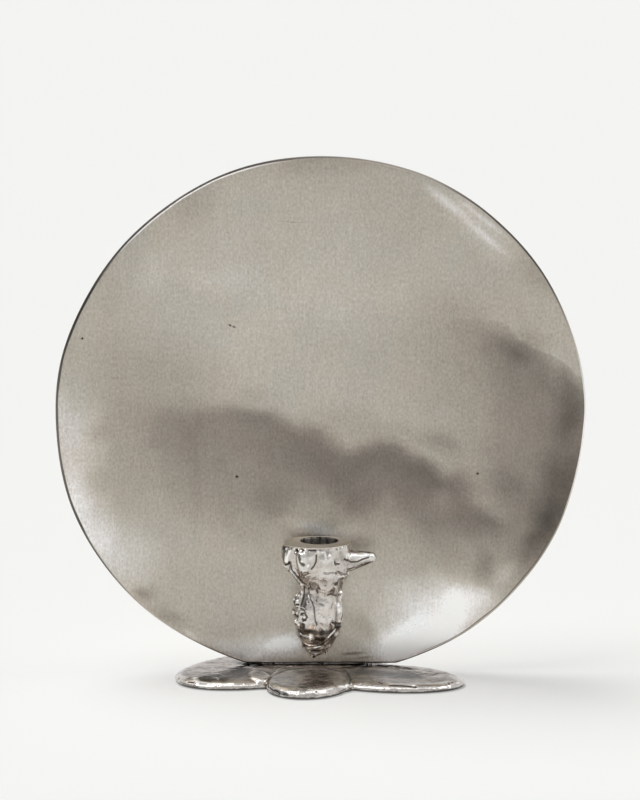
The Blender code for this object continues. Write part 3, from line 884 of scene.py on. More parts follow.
def rod(name: str, radius: float, start: Vector, end: Vector, sides: int = 48) -> Item:
    """A round bar between two points, as a cutter.

    Args:
        name: the bar's name.
        radius: its radius.
        start: the middle of one end.
        end: the middle of the other.
        sides: how many sides it has.

    Returns:
        The bar.
    """
    axis = end - start
    shape = lathe([(radius, 0.0), (radius, axis.length)], sides)
    turn = axis.to_track_quat("Z", "Y").to_matrix().to_4x4()
    bmesh.ops.transform(shape, matrix=Matrix.Translation(start) @ turn, verts=shape.verts)
    return new_object(name, shape)


def block(name: str, low: Sequence[float], high: Sequence[float]) -> Item:
    """A box between two corners, as a cutter.

    Args:
        name: the box's name.
        low: its lowest corner.
        high: its highest corner.

    Returns:
        The box.
    """
    shape = bmesh.new()
    bmesh.ops.create_cube(shape, size=1)
    low, high = Vector(low), Vector(high)
    bmesh.ops.scale(shape, vec=high - low, verts=shape.verts)
    bmesh.ops.translate(shape, vec=(low + high) / 2, verts=shape.verts)
    return new_object(name, shape)


def middle_of(node: str) -> Vector:
    """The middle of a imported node."""
    low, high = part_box(node)
    return (low + high) / 2


def bearing(azimuth: float, elevation: float) -> Vector:
    """A direction in degrees: azimuth 0 is the camera's side and 90 the right."""
    turn, lift = math.radians(azimuth), math.radians(elevation)
    return Vector((math.sin(turn) * math.cos(lift), -math.cos(turn) * math.cos(lift), math.sin(lift)))


def cast_skin(item: Item, grain: float, flow: int) -> None:
    """Melts an object's overlapping shapes into one skin.

    Args:
        item: the object.
        grain: how wide the skin's facets are.
        flow: how many times it is smoothed.
    """
    skin = item.modifiers.new("skin", "REMESH")
    skin.mode = "VOXEL"
    skin.voxel_size = grain
    skin.use_smooth_shade = True
    smooth = item.modifiers.new("flow", "SMOOTH")
    smooth.factor = 0.5
    smooth.iterations = flow
    apply_modifiers(item)


class Sight(Enum):
    """The side from which a mark is placed: the axes of its plane, and the way to look."""

    FRONT = ((0, 2), (0.0, 1.0, 0.0))
    ABOVE = ((0, 1), (0.0, 0.0, -1.0))


@dataclass(frozen=True)
class Mark:
    """A lump, dent, ridge or crease on a cast skin, in mm from the middle of the plate's face.

    Its points run along the skin as seen straight from the front (x and z) or from above (x and y);
    one point alone makes a round mark. A negative rise sinks it. A stain of 1 is black and one of -1
    is bright: tarnish and rubbed metal, and painted shade and painted highlights.
    """

    points: Points
    width: float
    rise: float = 0.0
    stain: float = 0.0


class Skin:
    """A mesh's points and normals, to be pushed in and out and stained."""

    def __init__(self, item: Item, face: float = 0.0) -> None:
        """Reads an object's mesh.

        Args:
            item: the object.
            face: where the plate's face lies, as a y in metres; marks are laid from it.
        """
        self.mesh = item.data
        self.face = face
        self.places = self._read("co")
        self.normals = self._read("normal")
        edges = np.empty(len(self.mesh.edges) * 2, dtype=np.int64)
        self.mesh.edges.foreach_get("vertices", edges)
        self.edges = edges.reshape(-1, 2)
        self.tree = BVHTree.FromObject(item, bpy.context.evaluated_depsgraph_get())

    def _read(self, what: str) -> Array:
        """One vector of every point of the mesh.

        Args:
            what: the vector's name.

        Returns:
            A row for each point.
        """
        flat = np.empty(len(self.mesh.vertices) * 3, dtype=np.float32)
        self.mesh.vertices.foreach_get(what, flat)
        return flat.reshape(-1, 3).astype(float)

    def push(self, amounts: Array) -> None:
        """Moves each point along its normal by an amount in metres, and updates the mesh.

        Args:
            amounts: the amount for each point.
        """
        self.places += self.normals * amounts[:, None]
        self.mesh.vertices.foreach_set("co", self.places.astype(np.float32).ravel())
        self.mesh.update()
        self.normals = self._read("normal")

    def lumps(self, size: float, seed: float) -> Array:
        """Smooth noise from about -1 to 1 with blotches of a size in metres."""
        shift = Vector((seed, -seed, 0.5 * seed))
        return np.array([noise.noise(Vector(place) / size + shift) for place in self.places])

    def unevenness(self, layers: Layers) -> Array:
        """Lumps laid over each other; each layer is its height and width in mm, and its seed."""
        return sum(height * MM * self.lumps(width * MM, seed) for height, width, seed in layers)

    def lay(self, marks: Sequence[Mark], sight: Sight) -> tuple[Array, Array]:
        """Lays marks on the skin.

        Args:
            marks: the marks.
            sight: the side they were measured from.

        Returns:
            How far they raise each point, in metres, and how dark or bright they paint it: stains, painted
            shade and painted highlights.
        """
        rise = np.zeros(len(self.places))
        stain = np.zeros(len(self.places))
        for mark in marks:
            path = self._path(mark.points, sight)
            reach = np.full(len(self.places), np.inf)
            for start, end in zip(path, path[1:] or path):
                reach = np.minimum(reach, self._reach(start, end))
            share = np.exp(-((reach / (mark.width / 2 * MM)) ** 2))
            rise += mark.rise * MM * share
            share = np.exp(-((reach / (mark.width / 2 * MM)) ** 4))
            stain += (mark.stain - stain) * share * (1.0 if mark.stain else 0.0)
        return rise, stain

    def _path(self, points: Points, sight: Sight) -> list[Array]:
        """Drops a mark's points, and some between them, on the skin.

        Args:
            points: the mark's points.
            sight: the side they were measured from.

        Returns:
            Their places on the skin.
        """
        spots = [Vector(point) for point in points]
        dense = spots[:1]
        for start, end in zip(spots, spots[1:]):
            count = math.ceil((end - start).length / MARK_STEP)
            dense += [start.lerp(end, step / count) for step in range(1, count + 1)]
        axes, look = sight.value
        path = []
        for spot in dense:
            place = Vector((0.0, 0.0, 0.0))
            place[axes[0]], place[axes[1]] = spot.x * MM, spot.y * MM
            place.y += self.face
            away = place - Vector(look)
            hit = self.tree.ray_cast(away, Vector(look))[0]
            if hit is None:
                hit = self.tree.find_nearest(place - NEAREST_DROP * Vector(look))[0]
            path.append(np.array(hit))
        return path

    def _reach(self, start: Array, end: Array) -> Array:
        """Each point's distance from a straight stretch.

        Args:
            start: one end of the stretch.
            end: the other end.

        Returns:
            The distances in metres.
        """
        along = end - start
        length = max(float(along @ along), 1e-18)
        share = np.clip((self.places - start) @ along / length, 0, 1)
        return np.linalg.norm(self.places - start - share[:, None] * along, axis=1)

    def hollows(self, steps: int, depth: float) -> Array:
        """How hollow the skin is at each point.

        Args:
            steps: how many times the skin is smoothed to find what lies below it.
            depth: how far below the smoothed skin a point counts as fully hollow.

        Returns:
            0 on swellings, 0.5 on even skin and 1 in hollows.
        """
        count = len(self.places)
        degree = np.maximum(np.bincount(self.edges.ravel(), minlength=count), 1)
        smooth = self.places.copy()
        for _ in range(steps):
            total = np.zeros_like(smooth)
            for axis in range(3):
                values = smooth[:, axis]
                total[:, axis] = np.bincount(self.edges[:, 0], values[self.edges[:, 1]], count)
                total[:, axis] += np.bincount(self.edges[:, 1], values[self.edges[:, 0]], count)
            smooth = total / degree[:, None]
        sunk = np.einsum("ij,ij->i", smooth - self.places, self.normals)
        return np.clip(0.5 + 0.5 * sunk / depth, 0, 1)

    def store(self, name: str, amounts: Array) -> None:
        """Keeps a number at each point, for the finish."""
        layer = self.mesh.attributes.new(name, "FLOAT", "POINT")
        layer.data.foreach_set("value", amounts.astype(np.float32))


def dress(item: Item, finish: bpy.types.Material, slot: Slot, *nodes: str) -> None:
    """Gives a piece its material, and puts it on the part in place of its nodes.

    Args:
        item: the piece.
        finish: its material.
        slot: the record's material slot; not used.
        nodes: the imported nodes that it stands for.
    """
    item.data.materials.clear()
    item.data.materials.append(finish)
    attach(item, "root")
    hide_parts(*nodes)
    log.info("%s: %d faces, stands for %s", item.name, len(item.data.polygons), ", ".join(nodes))


@dataclass
class ReflectorPlate:
    """The round upright plate with its hand-filed rim and straight foot."""

    half_width: float = 159.7 * MM
    half_height: float = 158.7 * MM
    foot_cut: float = 6.4 * MM
    edge_round: float = 1.9 * MM
    sides: int = 720
    face_rings: int = 36
    edge_steps: int = 8
    waves: tuple[tuple[int, float, float], ...] = (
        (1, 0.75, -52), (2, 0.51, 65), (3, 0.42, 186), (4, 0.19, 72), (7, 0.29, 62), (11, 0.20, 50),
        (13, 0.12, 42),
    )
    warp: float = 0.14 * MM
    warp_size: float = 45 * MM
    filing: float = 0.25
    filing_size: float = 18 * MM
    sharp: float = 60.0
    hole_radius: float = 2.8 * MM
    foot_hole_radius: float = 2.3 * MM
    foot_hole_depth: float = 9.8 * MM
    # patina and painted reflections of the room, as soft blotches of tone
    clouds: tuple[Cloud, ...] = (
        # upper half, and across the middle
        Cloud(-20, 74, 130, 80, 6, 0.08),
        Cloud(0, 152, 60, 12, 0, -0.06),
        Cloud(92, 120, 44, 18, -42, 0.13),
        Cloud(-104, 86, 22, 16, 40, 0.06),
        Cloud(-56, 82, 32, 14, 0, 0.05),
        Cloud(-78, 128, 22, 14, 35, -0.06),
        Cloud(10, 46, 75, 26, 0, -0.05),
        Cloud(-38, 16, 16, 12, 0, -0.07),
        Cloud(132, 88, 16, 26, 50, -0.08),
        Cloud(78, 66, 34, 20, -30, -0.08),
        Cloud(-95, 28, 62, 42, 0, -0.08),
        Cloud(-158, 5, 12, 40, 0, 0.08),
        Cloud(-138, -8, 16, 12, 0, -0.07),
        Cloud(30, -8, 60, 16, -8, -0.07),
        # right side
        Cloud(112, -40, 24, 14, -30, -0.08),
        Cloud(130, -62, 26, 18, -20, -0.08),
        Cloud(148, -52, 26, 44, 0, -0.12),
        Cloud(124, 44, 20, 16, 0, -0.10),
        Cloud(132, -72, 30, 12, 40, -0.08),
        Cloud(144, 20, 12, 26, 0, 0.10),
        Cloud(70, -14, 24, 14, -10, -0.09),
        Cloud(72, -54, 18, 14, 0, 0.08),
        Cloud(86, -37, 19, 11, -30, -0.12),
        Cloud(102, -62, 20, 20, 0, -0.08),
        Cloud(133, -82, 24, 12, 56, -0.09),
        Cloud(146, 6, 14, 30, 0, -0.12),
        # on both sides of the socket
        Cloud(-44, -48, 54, 38, -6, -0.10),
        Cloud(-30, -64, 30, 26, -40, -0.09),
        Cloud(28, -54, 18, 14, 0, -0.08),
        # painted reflection: a bright patch at the lower right
        Cloud(72, -128, 50, 28, 26, 0.60),
        Cloud(58, -142, 50, 24, 8, 0.60),
        Cloud(60, -108, 34, 20, 10, 0.20),
        Cloud(46, -128, 26, 22, 0, 0.18),
        Cloud(86, -117, 20, 15, 44, 0.30),
        Cloud(97, -94, 11, 18, 10, -0.12),
        Cloud(112, -97, 15, 9, 42, 0.12),
        # painted shadow and reflection: a dark streak down from the socket
        Cloud(28, -132, 24, 8, -50, -0.12),
        # painted light along the foot
        Cloud(-36, -145, 58, 18, 0, 0.32),
        Cloud(-62, -138, 30, 12, 0, 0.07),
        Cloud(-26, -143, 17, 8, 0, 0.40),
        Cloud(-77, -134, 10, 6, -40, 0.15),
        # painted light behind the socket, lifting the plate where it mirrors the socket's dark back
        Cloud(0, -70, 44, 26, 0, 0.20),
        Cloud(2, -68, 34, 9, 0, 0.22),
        # painted reflections at the lower left, and round the socket's foot
        Cloud(-150, -30, 30, 70, 8, 0.22),
        Cloud(-128, -84, 34, 50, 35, 0.20),
        Cloud(-143, -60, 26, 42, 20, 0.20),
        Cloud(-106, -112, 11, 9, 0, -0.18),
        Cloud(-90, -122, 14, 10, -20, -0.12),
        Cloud(8, -112, 60, 34, 0, 0.07),
    )
    # dark bands of painted reflection, partly smoky patina
    hazes: tuple[Haze, ...] = (
        # from the middle to the right, with a clear edge
        Haze(
            line=(
                (-160, 14), (-58, 11), (-43, 12), (-36, 9), (-29, 7), (-14, 2), (0, -5), (14, -14),
                (28, -9), (36, -8), (46, -11), (58, -20), (72, -28), (87, -36), (101, -50),
                (120, -62), (160, -80),
            ),
            strength=(
                (-160, 0.0), (-96, 0.0), (-72, 0.25), (-58, 0.5), (-40, 0.8), (0, 1.0), (50, 1.0),
                (80, 0.75), (100, 0.45), (130, 0.3), (160, 0.3),
            ),
            fall=(
                (0, 0.0), (5, 0.35), (11, 0.85), (17, 1.0), (28, 0.95), (44, 0.6), (66, 0.25),
                (95, 0.0), (160, 0.0),
            ),
            tone=-0.28,
        ),
        # its faint left end, with a soft edge
        Haze(
            line=(
                (-160, 20), (-130, 22), (-101, 20), (-87, 20), (-72, 18), (-58, 20), (-30, 16),
                (0, 0), (160, -60),
            ),
            strength=(
                (-160, 0.1), (-135, 0.25), (-115, 0.5), (-100, 0.65), (-87, 0.95), (-72, 0.6),
                (-58, 0.25), (-45, 0.0), (160, 0.0),
            ),
            fall=((0, 0.0), (10, 0.35), (20, 0.85), (30, 1.0), (50, 0.8), (70, 0.4), (100, 0.0), (160, 0.0)),
            tone=-0.20,
        ),
        # down the right side
        Haze(
            line=((-160, 60), (40, 62), (70, 62), (92, 62), (106, 58), (128, 45), (145, 35), (160, 22)),
            strength=((-160, 0.0), (36, 0.0), (70, 0.25), (92, 0.4), (112, 0.75), (140, 0.95), (160, 1.0)),
            fall=((0, 0.0), (6, 0.7), (14, 0.95), (40, 0.95), (70, 0.85), (105, 0.7), (140, 0.2), (160, 0.0)),
            tone=-0.26,
        ),
    )
    scars_and_dent_glints: tuple[Cloud, ...] = (
        # pits and scratches
        Cloud(-54.2, 56, 1.6, 0.9, -35, -0.55),
        Cloud(-51.6, 55, 1.6, 0.8, -25, -0.55),
        Cloud(-142.9, 48, 1.2, 1.1, 0, -0.5),
        Cloud(-50.2, -36.5, 1.4, 1.2, 0, -0.4),
        Cloud(95.2, -34.6, 1.4, 1.2, 0, -0.4),
        Cloud(-18, 118.5, 13, 0.5, -3, -0.14),
        Cloud(20, -146, 12, 1.6, 4, -0.30),
        Cloud(27, -148.5, 10, 1.2, 8, -0.25),
        # painted highlights along the outline of a long dent at the upper right
        Cloud(76, 130, 24, 4.6, -38, 0.20),
        Cloud(100, 108.5, 24, 3.6, -40, 0.17),
        Cloud(99, 119.5, 28, 2.8, -38, 0.15),
    )
    # painted reflections in the rounded rim: lighter on the right and low down, darker on the left
    rim_reflections: tuple[Cloud, ...] = (
        Cloud(165, -10, 60, 120, 0, 0.85),
        Cloud(112, -120, 74, 44, 44, 0.50),
        Cloud(-100, -128, 60, 34, -38, 0.45),
        Cloud(-165, -10, 40, 120, 0, 0.10),
        Cloud(60, 158, 110, 40, 0, 0.30),
    )
    polished: tuple[Cloud, ...] = (Cloud(64, -128, 58, 26, 20, 0.08),)
    # a painted highlight inside the rim at the upper left
    glints: tuple[Cloud, ...] = (Cloud(-80, 142, 84, 40, 32, 2.2),)
    # a painted dark line inside the rim at the lower right
    lines: tuple[Cloud, ...] = (Cloud(108, -120, 80, 44, 44, 2.2),)
    # a painted dark edge, wider round the left
    thick: tuple[Cloud, ...] = (Cloud(-160, 10, 70, 150, 0, 2.5),)
    face: float = field(init=False)
    back: float = field(init=False)
    foot: float = field(init=False)
    middle: float = field(init=False)

    def build(self) -> Item:
        """Builds the plate.

        Returns:
            The plate.
        """
        low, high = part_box("reflector_plate")
        self.face, self.back, self.foot = low.y, high.y, low.z
        self.middle = self.foot - self.foot_cut + self.half_height
        plate = new_object("plate_with_filed_rim", loft(self._rings()), self.sharp)
        layer = plate.data.attributes.new("edge", "FLOAT", "POINT")
        layer.data.foreach_set("value", np.repeat(self._edge_shares(), self.sides))
        cut(plate, self._holes())
        shade(plate.data, self.sharp)
        return plate

    def dress(self, plate: Item) -> None:
        """Gives the plate its satin finish, with its painted reflections.

        Args:
            plate: the plate.
        """
        finish = SatinNickel(
            middle=(0.0, 0.0, self.middle), half_width=self.half_width, face=self.face,
            thickness=self.back - self.face, clouds=self.clouds, hazes=self.hazes, scars_and_dent_glints=self.scars_and_dent_glints,
            rim_reflections=self.rim_reflections, polished=self.polished, glints=self.glints, lines=self.lines,
            thick=self.thick,
        )
        dress(plate, finish.material(), Slot.PLATE, "reflector_plate")

    def _edge_shares(self) -> list[float]:
        """How far round the edge each ring lies: 0 on the faces, 1 on the rim and on the back edge."""
        steps = [step / self.edge_steps for step in range(self.edge_steps + 1)]
        return [0.0] * self.face_rings + steps + [1.0] * len(steps) + [0.0] * self.face_rings

    def _edge(self, turn: float) -> tuple[float, float]:
        """The outline at a turn round the middle.

        Args:
            turn: the turn in radians, from the right and upwards.

        Returns:
            Its x, and its height over the middle.
        """
        wave = 0.0
        for order, reach, crest in self.waves:
            wave += reach * MM * math.cos(order * turn - math.radians(crest))
        x = (self.half_width + wave) * math.cos(turn)
        z = (self.half_height + wave) * math.sin(turn)
        lowest = self.foot - self.middle
        if z < lowest:
            x, z = x * lowest / z, lowest
        return x, z

    def _rings(self) -> list[Ring]:
        """Rings of points over the whole plate.

        Returns:
            The rings, from the middle of the front face, over the rim, to the middle of the back.
        """
        turns = [math.tau * step / self.sides for step in range(self.sides)]
        outline = [self._edge(turn) for turn in turns]
        filed = []
        for x, z in outline:
            uneven = noise.noise(Vector((x, z, 0)) / self.filing_size)
            filed.append(self.edge_round * (1 + self.filing * uneven))
        shares = [(ring + 0.25) / self.face_rings for ring in range(self.face_rings)]
        arc = [math.pi / 2 * step / self.edge_steps for step in range(self.edge_steps + 1)]
        rings = [self._flat(outline, filed, share, self.face, 1) for share in shares]
        rings += [self._round(outline, filed, angle, self.face, 1) for angle in arc]
        rings += [self._round(outline, filed, angle, self.back, -1) for angle in reversed(arc)]
        rings += [self._flat(outline, filed, share, self.back, -1) for share in reversed(shares)]
        return rings

    def _flat(self, outline: Pairs, filed: Sequence[float], share: float, face: float, side: int) -> Ring:
        """A ring on a face.

        Args:
            outline: the plate's outline.
            filed: the edge's radius at each of its points.
            share: how far the ring lies from the middle to the rounded edge.
            face: the face's y.
            side: 1 for the front face and -1 for the back.

        Returns:
            The ring's points.
        """
        ring = []
        for (x, z), edge in zip(outline, filed):
            inner = share * (1 - edge / math.hypot(x, z))
            spot = Vector((inner * x, 0, inner * z))
            dent = (0.5 + 0.5 * noise.noise(spot / self.warp_size + Vector((side, 0, 0)))) * self.warp
            dent *= min(1.0, 8 * (1 - share))
            ring.append(Vector((spot.x, face + side * dent, self.middle + spot.z)))
        return ring

    def _round(self, outline: Pairs, filed: Sequence[float], angle: float, face: float, side: int) -> Ring:
        """A ring on the rounded edge.

        Args:
            outline: the plate's outline.
            filed: the edge's radius at each of its points.
            angle: how far the ring lies round the edge, in radians from the face.
            face: the face's y.
            side: 1 for the front face and -1 for the back.

        Returns:
            The ring's points.
        """
        ring = []
        for (x, z), edge in zip(outline, filed):
            inner = 1 - edge * (1 - math.sin(angle)) / math.hypot(x, z)
            y = face + side * edge * (1 - math.cos(angle))
            ring.append(Vector((inner * x, y, self.middle + inner * z)))
        return ring

    def _holes(self) -> list[Item]:
        """Cutters for the socket's and the foot's screw holes.

        Returns:
            The cutters, where the screws are.
        """
        cutters = []
        for node in SOCKET_SCREWS:
            x, _, z = middle_of(node)
            start, end = Vector((x, self.face - MM, z)), Vector((x, self.back + MM, z))
            cutters.append(rod(f"{node}_hole", self.hole_radius, start, end))
        for node in BASE_SCREWS:
            x, y, _ = middle_of(node)
            start = Vector((x, y, self.foot - MM))
            end = Vector((x, y, self.foot + self.foot_hole_depth))
            cutters.append(rod(f"{node}_hole", self.foot_hole_radius, start, end))
        return cutters


@dataclass(frozen=True)
class Puddle:
    """One flat drop of the foot, in mm: its middle, half length and width, turn, and crown height."""

    x: float
    y: float
    half_length: float
    half_width: float
    turn: float
    crown: float
    dish: float = 0.0


@dataclass
class PuddleFoot:
    """The foot: drops of metal that ran together, ground flat below and under the plate."""

    puddles: tuple[Puddle, ...] = (
        Puddle(-8.0, 16.0, 50.0, 31.0, 0, 6.2, 0.2),
        Puddle(-35.9, -1.3, 57.6, 37.3, 35, 6.1, 0.5),
        Puddle(39.9, -22.8, 48.2, 29.2, -15, 5.8, 0.4),
        Puddle(-36.5, -29.5, 7.5, 13.5, 12, 6.7),
        Puddle(10.5, -42.0, 10.0, 9.4, 0, 5.6),
        Puddle(-7.0, -38.0, 25.0, 31.5, -14, 6.9, 0.6),
    )
    widest: float = 1.8
    squareness: float = 0.22
    dish_reach: float = 0.86
    sides: int = 160
    rings: int = 40
    grain: float = 0.6 * MM
    flow: int = 3
    unevenness: Layers = ((0.22, 11, 3.1), (0.12, 4.5, 8.7), (0.05, 2, 1.3))
    hollow_steps: int = 40
    hollow_depth: float = 0.32 * MM
    sharp: float = 50.0
    seat_margin: float = 1.0 * MM
    seat_half: float = 45.9 * MM
    countersink_radius: float = 4.05 * MM
    countersink_depth: float = 2.0 * MM
    shank_hole_radius: float = 2.3 * MM
    clearance: float = 0.3 * MM
    # dark stains here are tarnish and painted shade, the wide ones painted reflections; bright ones are
    # painted highlights and rubbed metal
    marks: tuple[Mark, ...] = (
        # left drop
        Mark(((-68, -35), (-58, -32), (-50, -27), (-47, -12)), 15, 0, 0.88),
        Mark(((-85.2, -27.6),), 1.7, -0.8, 1),
        Mark(((-79, -37), (-75.4, -39.5)), 1.6, -0.3, 0.9),
        Mark(((-75, -34.5), (-73.5, -40)), 3.2, 0.4, -1),
        Mark(((-74, -39.5), (-66.6, -43), (-57.3, -44.4), (-52, -44)), 1.8, 0.4, -1),
        Mark(((-63, -36.3), (-61.9, -35.4), (-61.1, -38.9)), 1.3, 0.3, -0.9),
        # between the left drop and the front one
        Mark(((-44, -9), (-40, -12), (-41.5, -27)), 4, 0.4, -0.15),
        Mark(((-40.9, -36.5), (-39, -39.3), (-37.3, -41)), 3.4, 0.5, -1),
        Mark(((-37, -39.6), (-33.5, -39.4)), 3.2, 0.2, -0.6),
        Mark(((-45.7, -43.5),), 1.4, 0.3, -1),
        Mark(((-31.8, -42.3),), 1.4, 0.3, -1),
        Mark(((-31.8, -39.8),), 1.3, 0.3, -1),
        # front drop
        Mark(((-8.6, -24.6), (1.2, -24.6), (6.4, -27)), 10, 0, 0.45),
        Mark(((-6.2, -52.2), (1.2, -52.1)), 6, 0, 0.5),
        Mark(((-31.2, -44), (-31, -50), (-28.1, -57.5), (-24, -63)), 1.2, -0.4, 0.9),
        Mark(((-23.2, -62.4), (-20.6, -64.8), (-14.2, -67.4), (-12.5, -67)), 1.5, 0.2, -1),
        Mark(((-22.2, -63.9),), 1.1, -0.2, 0.9),
        Mark(((-17.7, -66.6),), 1.1, -0.2, 0.9),
        Mark(((-13.6, -67.9),), 1.1, -0.2, 0.9),
        Mark(((-7.3, -67.6), (-2.7, -66.2), (1.2, -64.6), (6.3, -60)), 3, 0.3, -1),
        Mark(((-2.2, -66.4),), 1.4, -0.6, 1),
        Mark(((-29, -28.5), (-25.6, -18.7)), 1.2, 0.25, -0.9),
        Mark(((-22.2, -13.6),), 1.6, 0.2, -0.9),
        Mark(((-11.9, -18.1),), 2.4, 0.2, -0.7),
        Mark(((-20.2, -40.2), (-17.9, -38.4), (-15.5, -40.5)), 1.3, 0.2, -0.5),
        Mark(((-29.6, -34), (-27.5, -24), (-26.3, -15), (-22.2, -8.5), (-17.5, -6)), 1.7, 0.4, -0.15),
        Mark(((-1, -45), (4, -46.4)), 1.4, 0.2, -0.5),
        Mark(((14.6, -13.6), (16.9, -23.8), (18.6, -38), (17.4, -47)), 1.3, -0.4, 0.8),
        # small drop on the right of the front one
        Mark(((7.5, -58.6), (12.1, -53.6), (16.2, -48.8)), 2.6, 0.3, -0.9),
        Mark(((9.2, -56.4),), 1.3, -0.5, 1),
        Mark(((24.3, -45.4),), 2, 0.3, -0.9),
        Mark(((27.2, -46),), 2, 0.3, -0.9),
        # right drop
        Mark(((26, -20), (40, -24), (56, -30)), 17, 0, 0.70),
        Mark(((31.4, -38.8), (33.6, -43), (37.1, -45.2)), 2, 0.3, -0.4),
        Mark(((35.6, -46.7),), 1.4, -0.5, 1),
        Mark(((36.8, -48.1),), 1.2, -0.5, 1),
        Mark(((41.6, -50.4), (48.6, -50.9), (55.5, -51.7), (57.2, -51.9)), 1.4, -0.4, 1),
        Mark(((40.5, -48.4), (48.6, -49), (56.7, -50.4)), 1.6, 0.2, -1),
        Mark(((77.4, -44.4),), 1.6, -0.6, 1),
        Mark(((79.4, -42.4),), 1.6, -0.6, 1),
        Mark(((77.1, -46.4),), 1.3, -0.5, 1),
        Mark(((70.6, -49.9), (76.5, -46.6), (83.1, -39.6)), 1.6, 0.2, -1),
        Mark(((68.3, -27.5), (70.8, -23.7)), 1.3, -0.2, 0.7),
        Mark(((70.8, -42), (76.7, -38)), 6, 0, 0.3),
        Mark(((48.7, -12.9), (57.5, -16.7)), 1.3, 0.2, -0.9),
        # painted shadow in the gap under the plate's foot and along it
        Mark(((-47, 3), (47, 3)), 9, 0, 1),
    )
    face: float = field(init=False)
    underside: float = field(init=False)
    seat: float = field(init=False)

    def build(self) -> Item:
        """Builds the foot.

        Returns:
            The foot.
        """
        plate_low, plate_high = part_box("reflector_plate")
        self.face, self.underside = plate_low.y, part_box("drip_base")[0].z
        self.seat = plate_low.z - self.clearance
        shape = bmesh.new()
        for puddle in self.puddles:
            drop = bpy.data.meshes.new("drop")
            made = self._drop(puddle)
            made.to_mesh(drop)
            made.free()
            shape.from_mesh(drop)
            bpy.data.meshes.remove(drop)
        foot = new_object("foot_of_puddles", shape)
        cast_skin(foot, self.grain, self.flow)
        skin = Skin(foot, self.face)
        top = np.clip(skin.places[:, 2] / MM - 1.0, 0, 1)
        rise, stain = skin.lay(self.marks, Sight.ABOVE)
        skin.push((rise + skin.unevenness(self.unevenness)) * top)
        skin.store("hollow", skin.hollows(self.hollow_steps, self.hollow_depth))
        skin.store("stain", stain)
        reach = 1.0
        cutters = [
            block("ground_underside", (-reach, -reach, -reach), (reach, reach, self.underside)),
            block(
                "ground_plate_seat",
                (-self.seat_half, plate_low.y - self.seat_margin, self.seat),
                (self.seat_half, plate_high.y + self.seat_margin, self.seat + 0.1),
            ),
        ]
        cut(foot, cutters + self._holes())
        shade(foot.data, self.sharp)
        return foot

    def dress(self, foot: Item) -> None:
        """Gives the foot its finish: browner on top than round its lips, which carry a painted highlight,
        with painted shade along its lowest edge.

        Args:
            foot: the foot.
        """
        finish = CastNickel(
            name="tarnished_cast_nickel",
            clean=(0.42, 0.365, 0.32),
            rubbed_and_highlight=(0.92, 0.905, 0.885),
            tarnish=(0.095, 0.070, 0.054),
            roughness=0.08,
            film=0.85,
            film_size=8 * MM,
            fleck=0.55,
            peel=0.20 * MM,
            lip_highlight_height=3.2 * MM,
            low_edge_shade_height=2.2 * MM,
        )
        dress(foot, finish.material(), Slot.BASE, "drip_base")

    def _drop(self, puddle: Puddle) -> Shape:
        """One drop: a round with a full lip, a raised edge and a dished top, drawn into an ellipse.

        Args:
            puddle: its sizes.

        Returns:
            The drop, in its place.
        """
        rings = []
        for ring in range(1, self.rings):
            rise = math.pi * (ring / self.rings - 0.5)
            radius = math.cos(rise) ** self.squareness
            height = math.sin(rise) * (puddle.crown - self.widest)
            if rise > 0:
                height -= puddle.dish * max(0.0, 1 - (radius / self.dish_reach) ** 2)
            level = circle(radius, height + self.widest, self.sides)
            rings.append([Vector((p.x * puddle.half_length, p.y * puddle.half_width, p.z)) for p in level])
        shape = loft(rings)
        turn = Matrix.Rotation(math.radians(puddle.turn), 4, "Z")
        place = Matrix.Translation((puddle.x * MM, puddle.y * MM + self.face, 0))
        bmesh.ops.transform(shape, matrix=place @ turn @ Matrix.Scale(MM, 4), verts=shape.verts)
        return shape

    def _holes(self) -> list[Item]:
        """Cutters for the countersunk screws and the felt pads.

        Returns:
            The cutters, where the screws and pads are.
        """
        cutters = []
        for node in BASE_SCREWS:
            x, y, _ = middle_of(node)
            profile = [
                (self.countersink_radius, self.underside - MM),
                (self.countersink_radius, self.underside + 2 * self.clearance),
                (self.shank_hole_radius, self.underside + 2 * self.clearance + self.countersink_depth),
                (self.shank_hole_radius, self.seat + 3 * MM),
            ]
            shape = lathe(profile, 64)
            bmesh.ops.translate(shape, vec=(x, y, 0), verts=shape.verts)
            cutters.append(new_object(f"{node}_countersink", shape))
        for node in FOOT_PADS:
            low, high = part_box(node)
            x, y, _ = middle_of(node)
            radius = (high.x - low.x) / 2 + self.clearance
            start, end = Vector((x, y, -MM)), Vector((x, y, high.z + self.clearance))
            cutters.append(rod(f"{node}_recess", radius, start, end, 64))
        return cutters


@dataclass(frozen=True)
class Run:
    """Wax that ran down the socket: its turn in degrees, start and end as shares of the height,
    thickness at both ends and how far it stands proud, in mm."""

    turn: float
    start: float
    end: float
    thick: float
    thin: float
    proud: float


@dataclass(frozen=True)
class Lap:
    """An edge of wax that froze round the socket: its height as a share, the turns where it starts
    and ends in degrees, its thickness and how far it stands proud, in mm."""

    share: float
    start: float
    end: float
    thickness: float
    proud: float


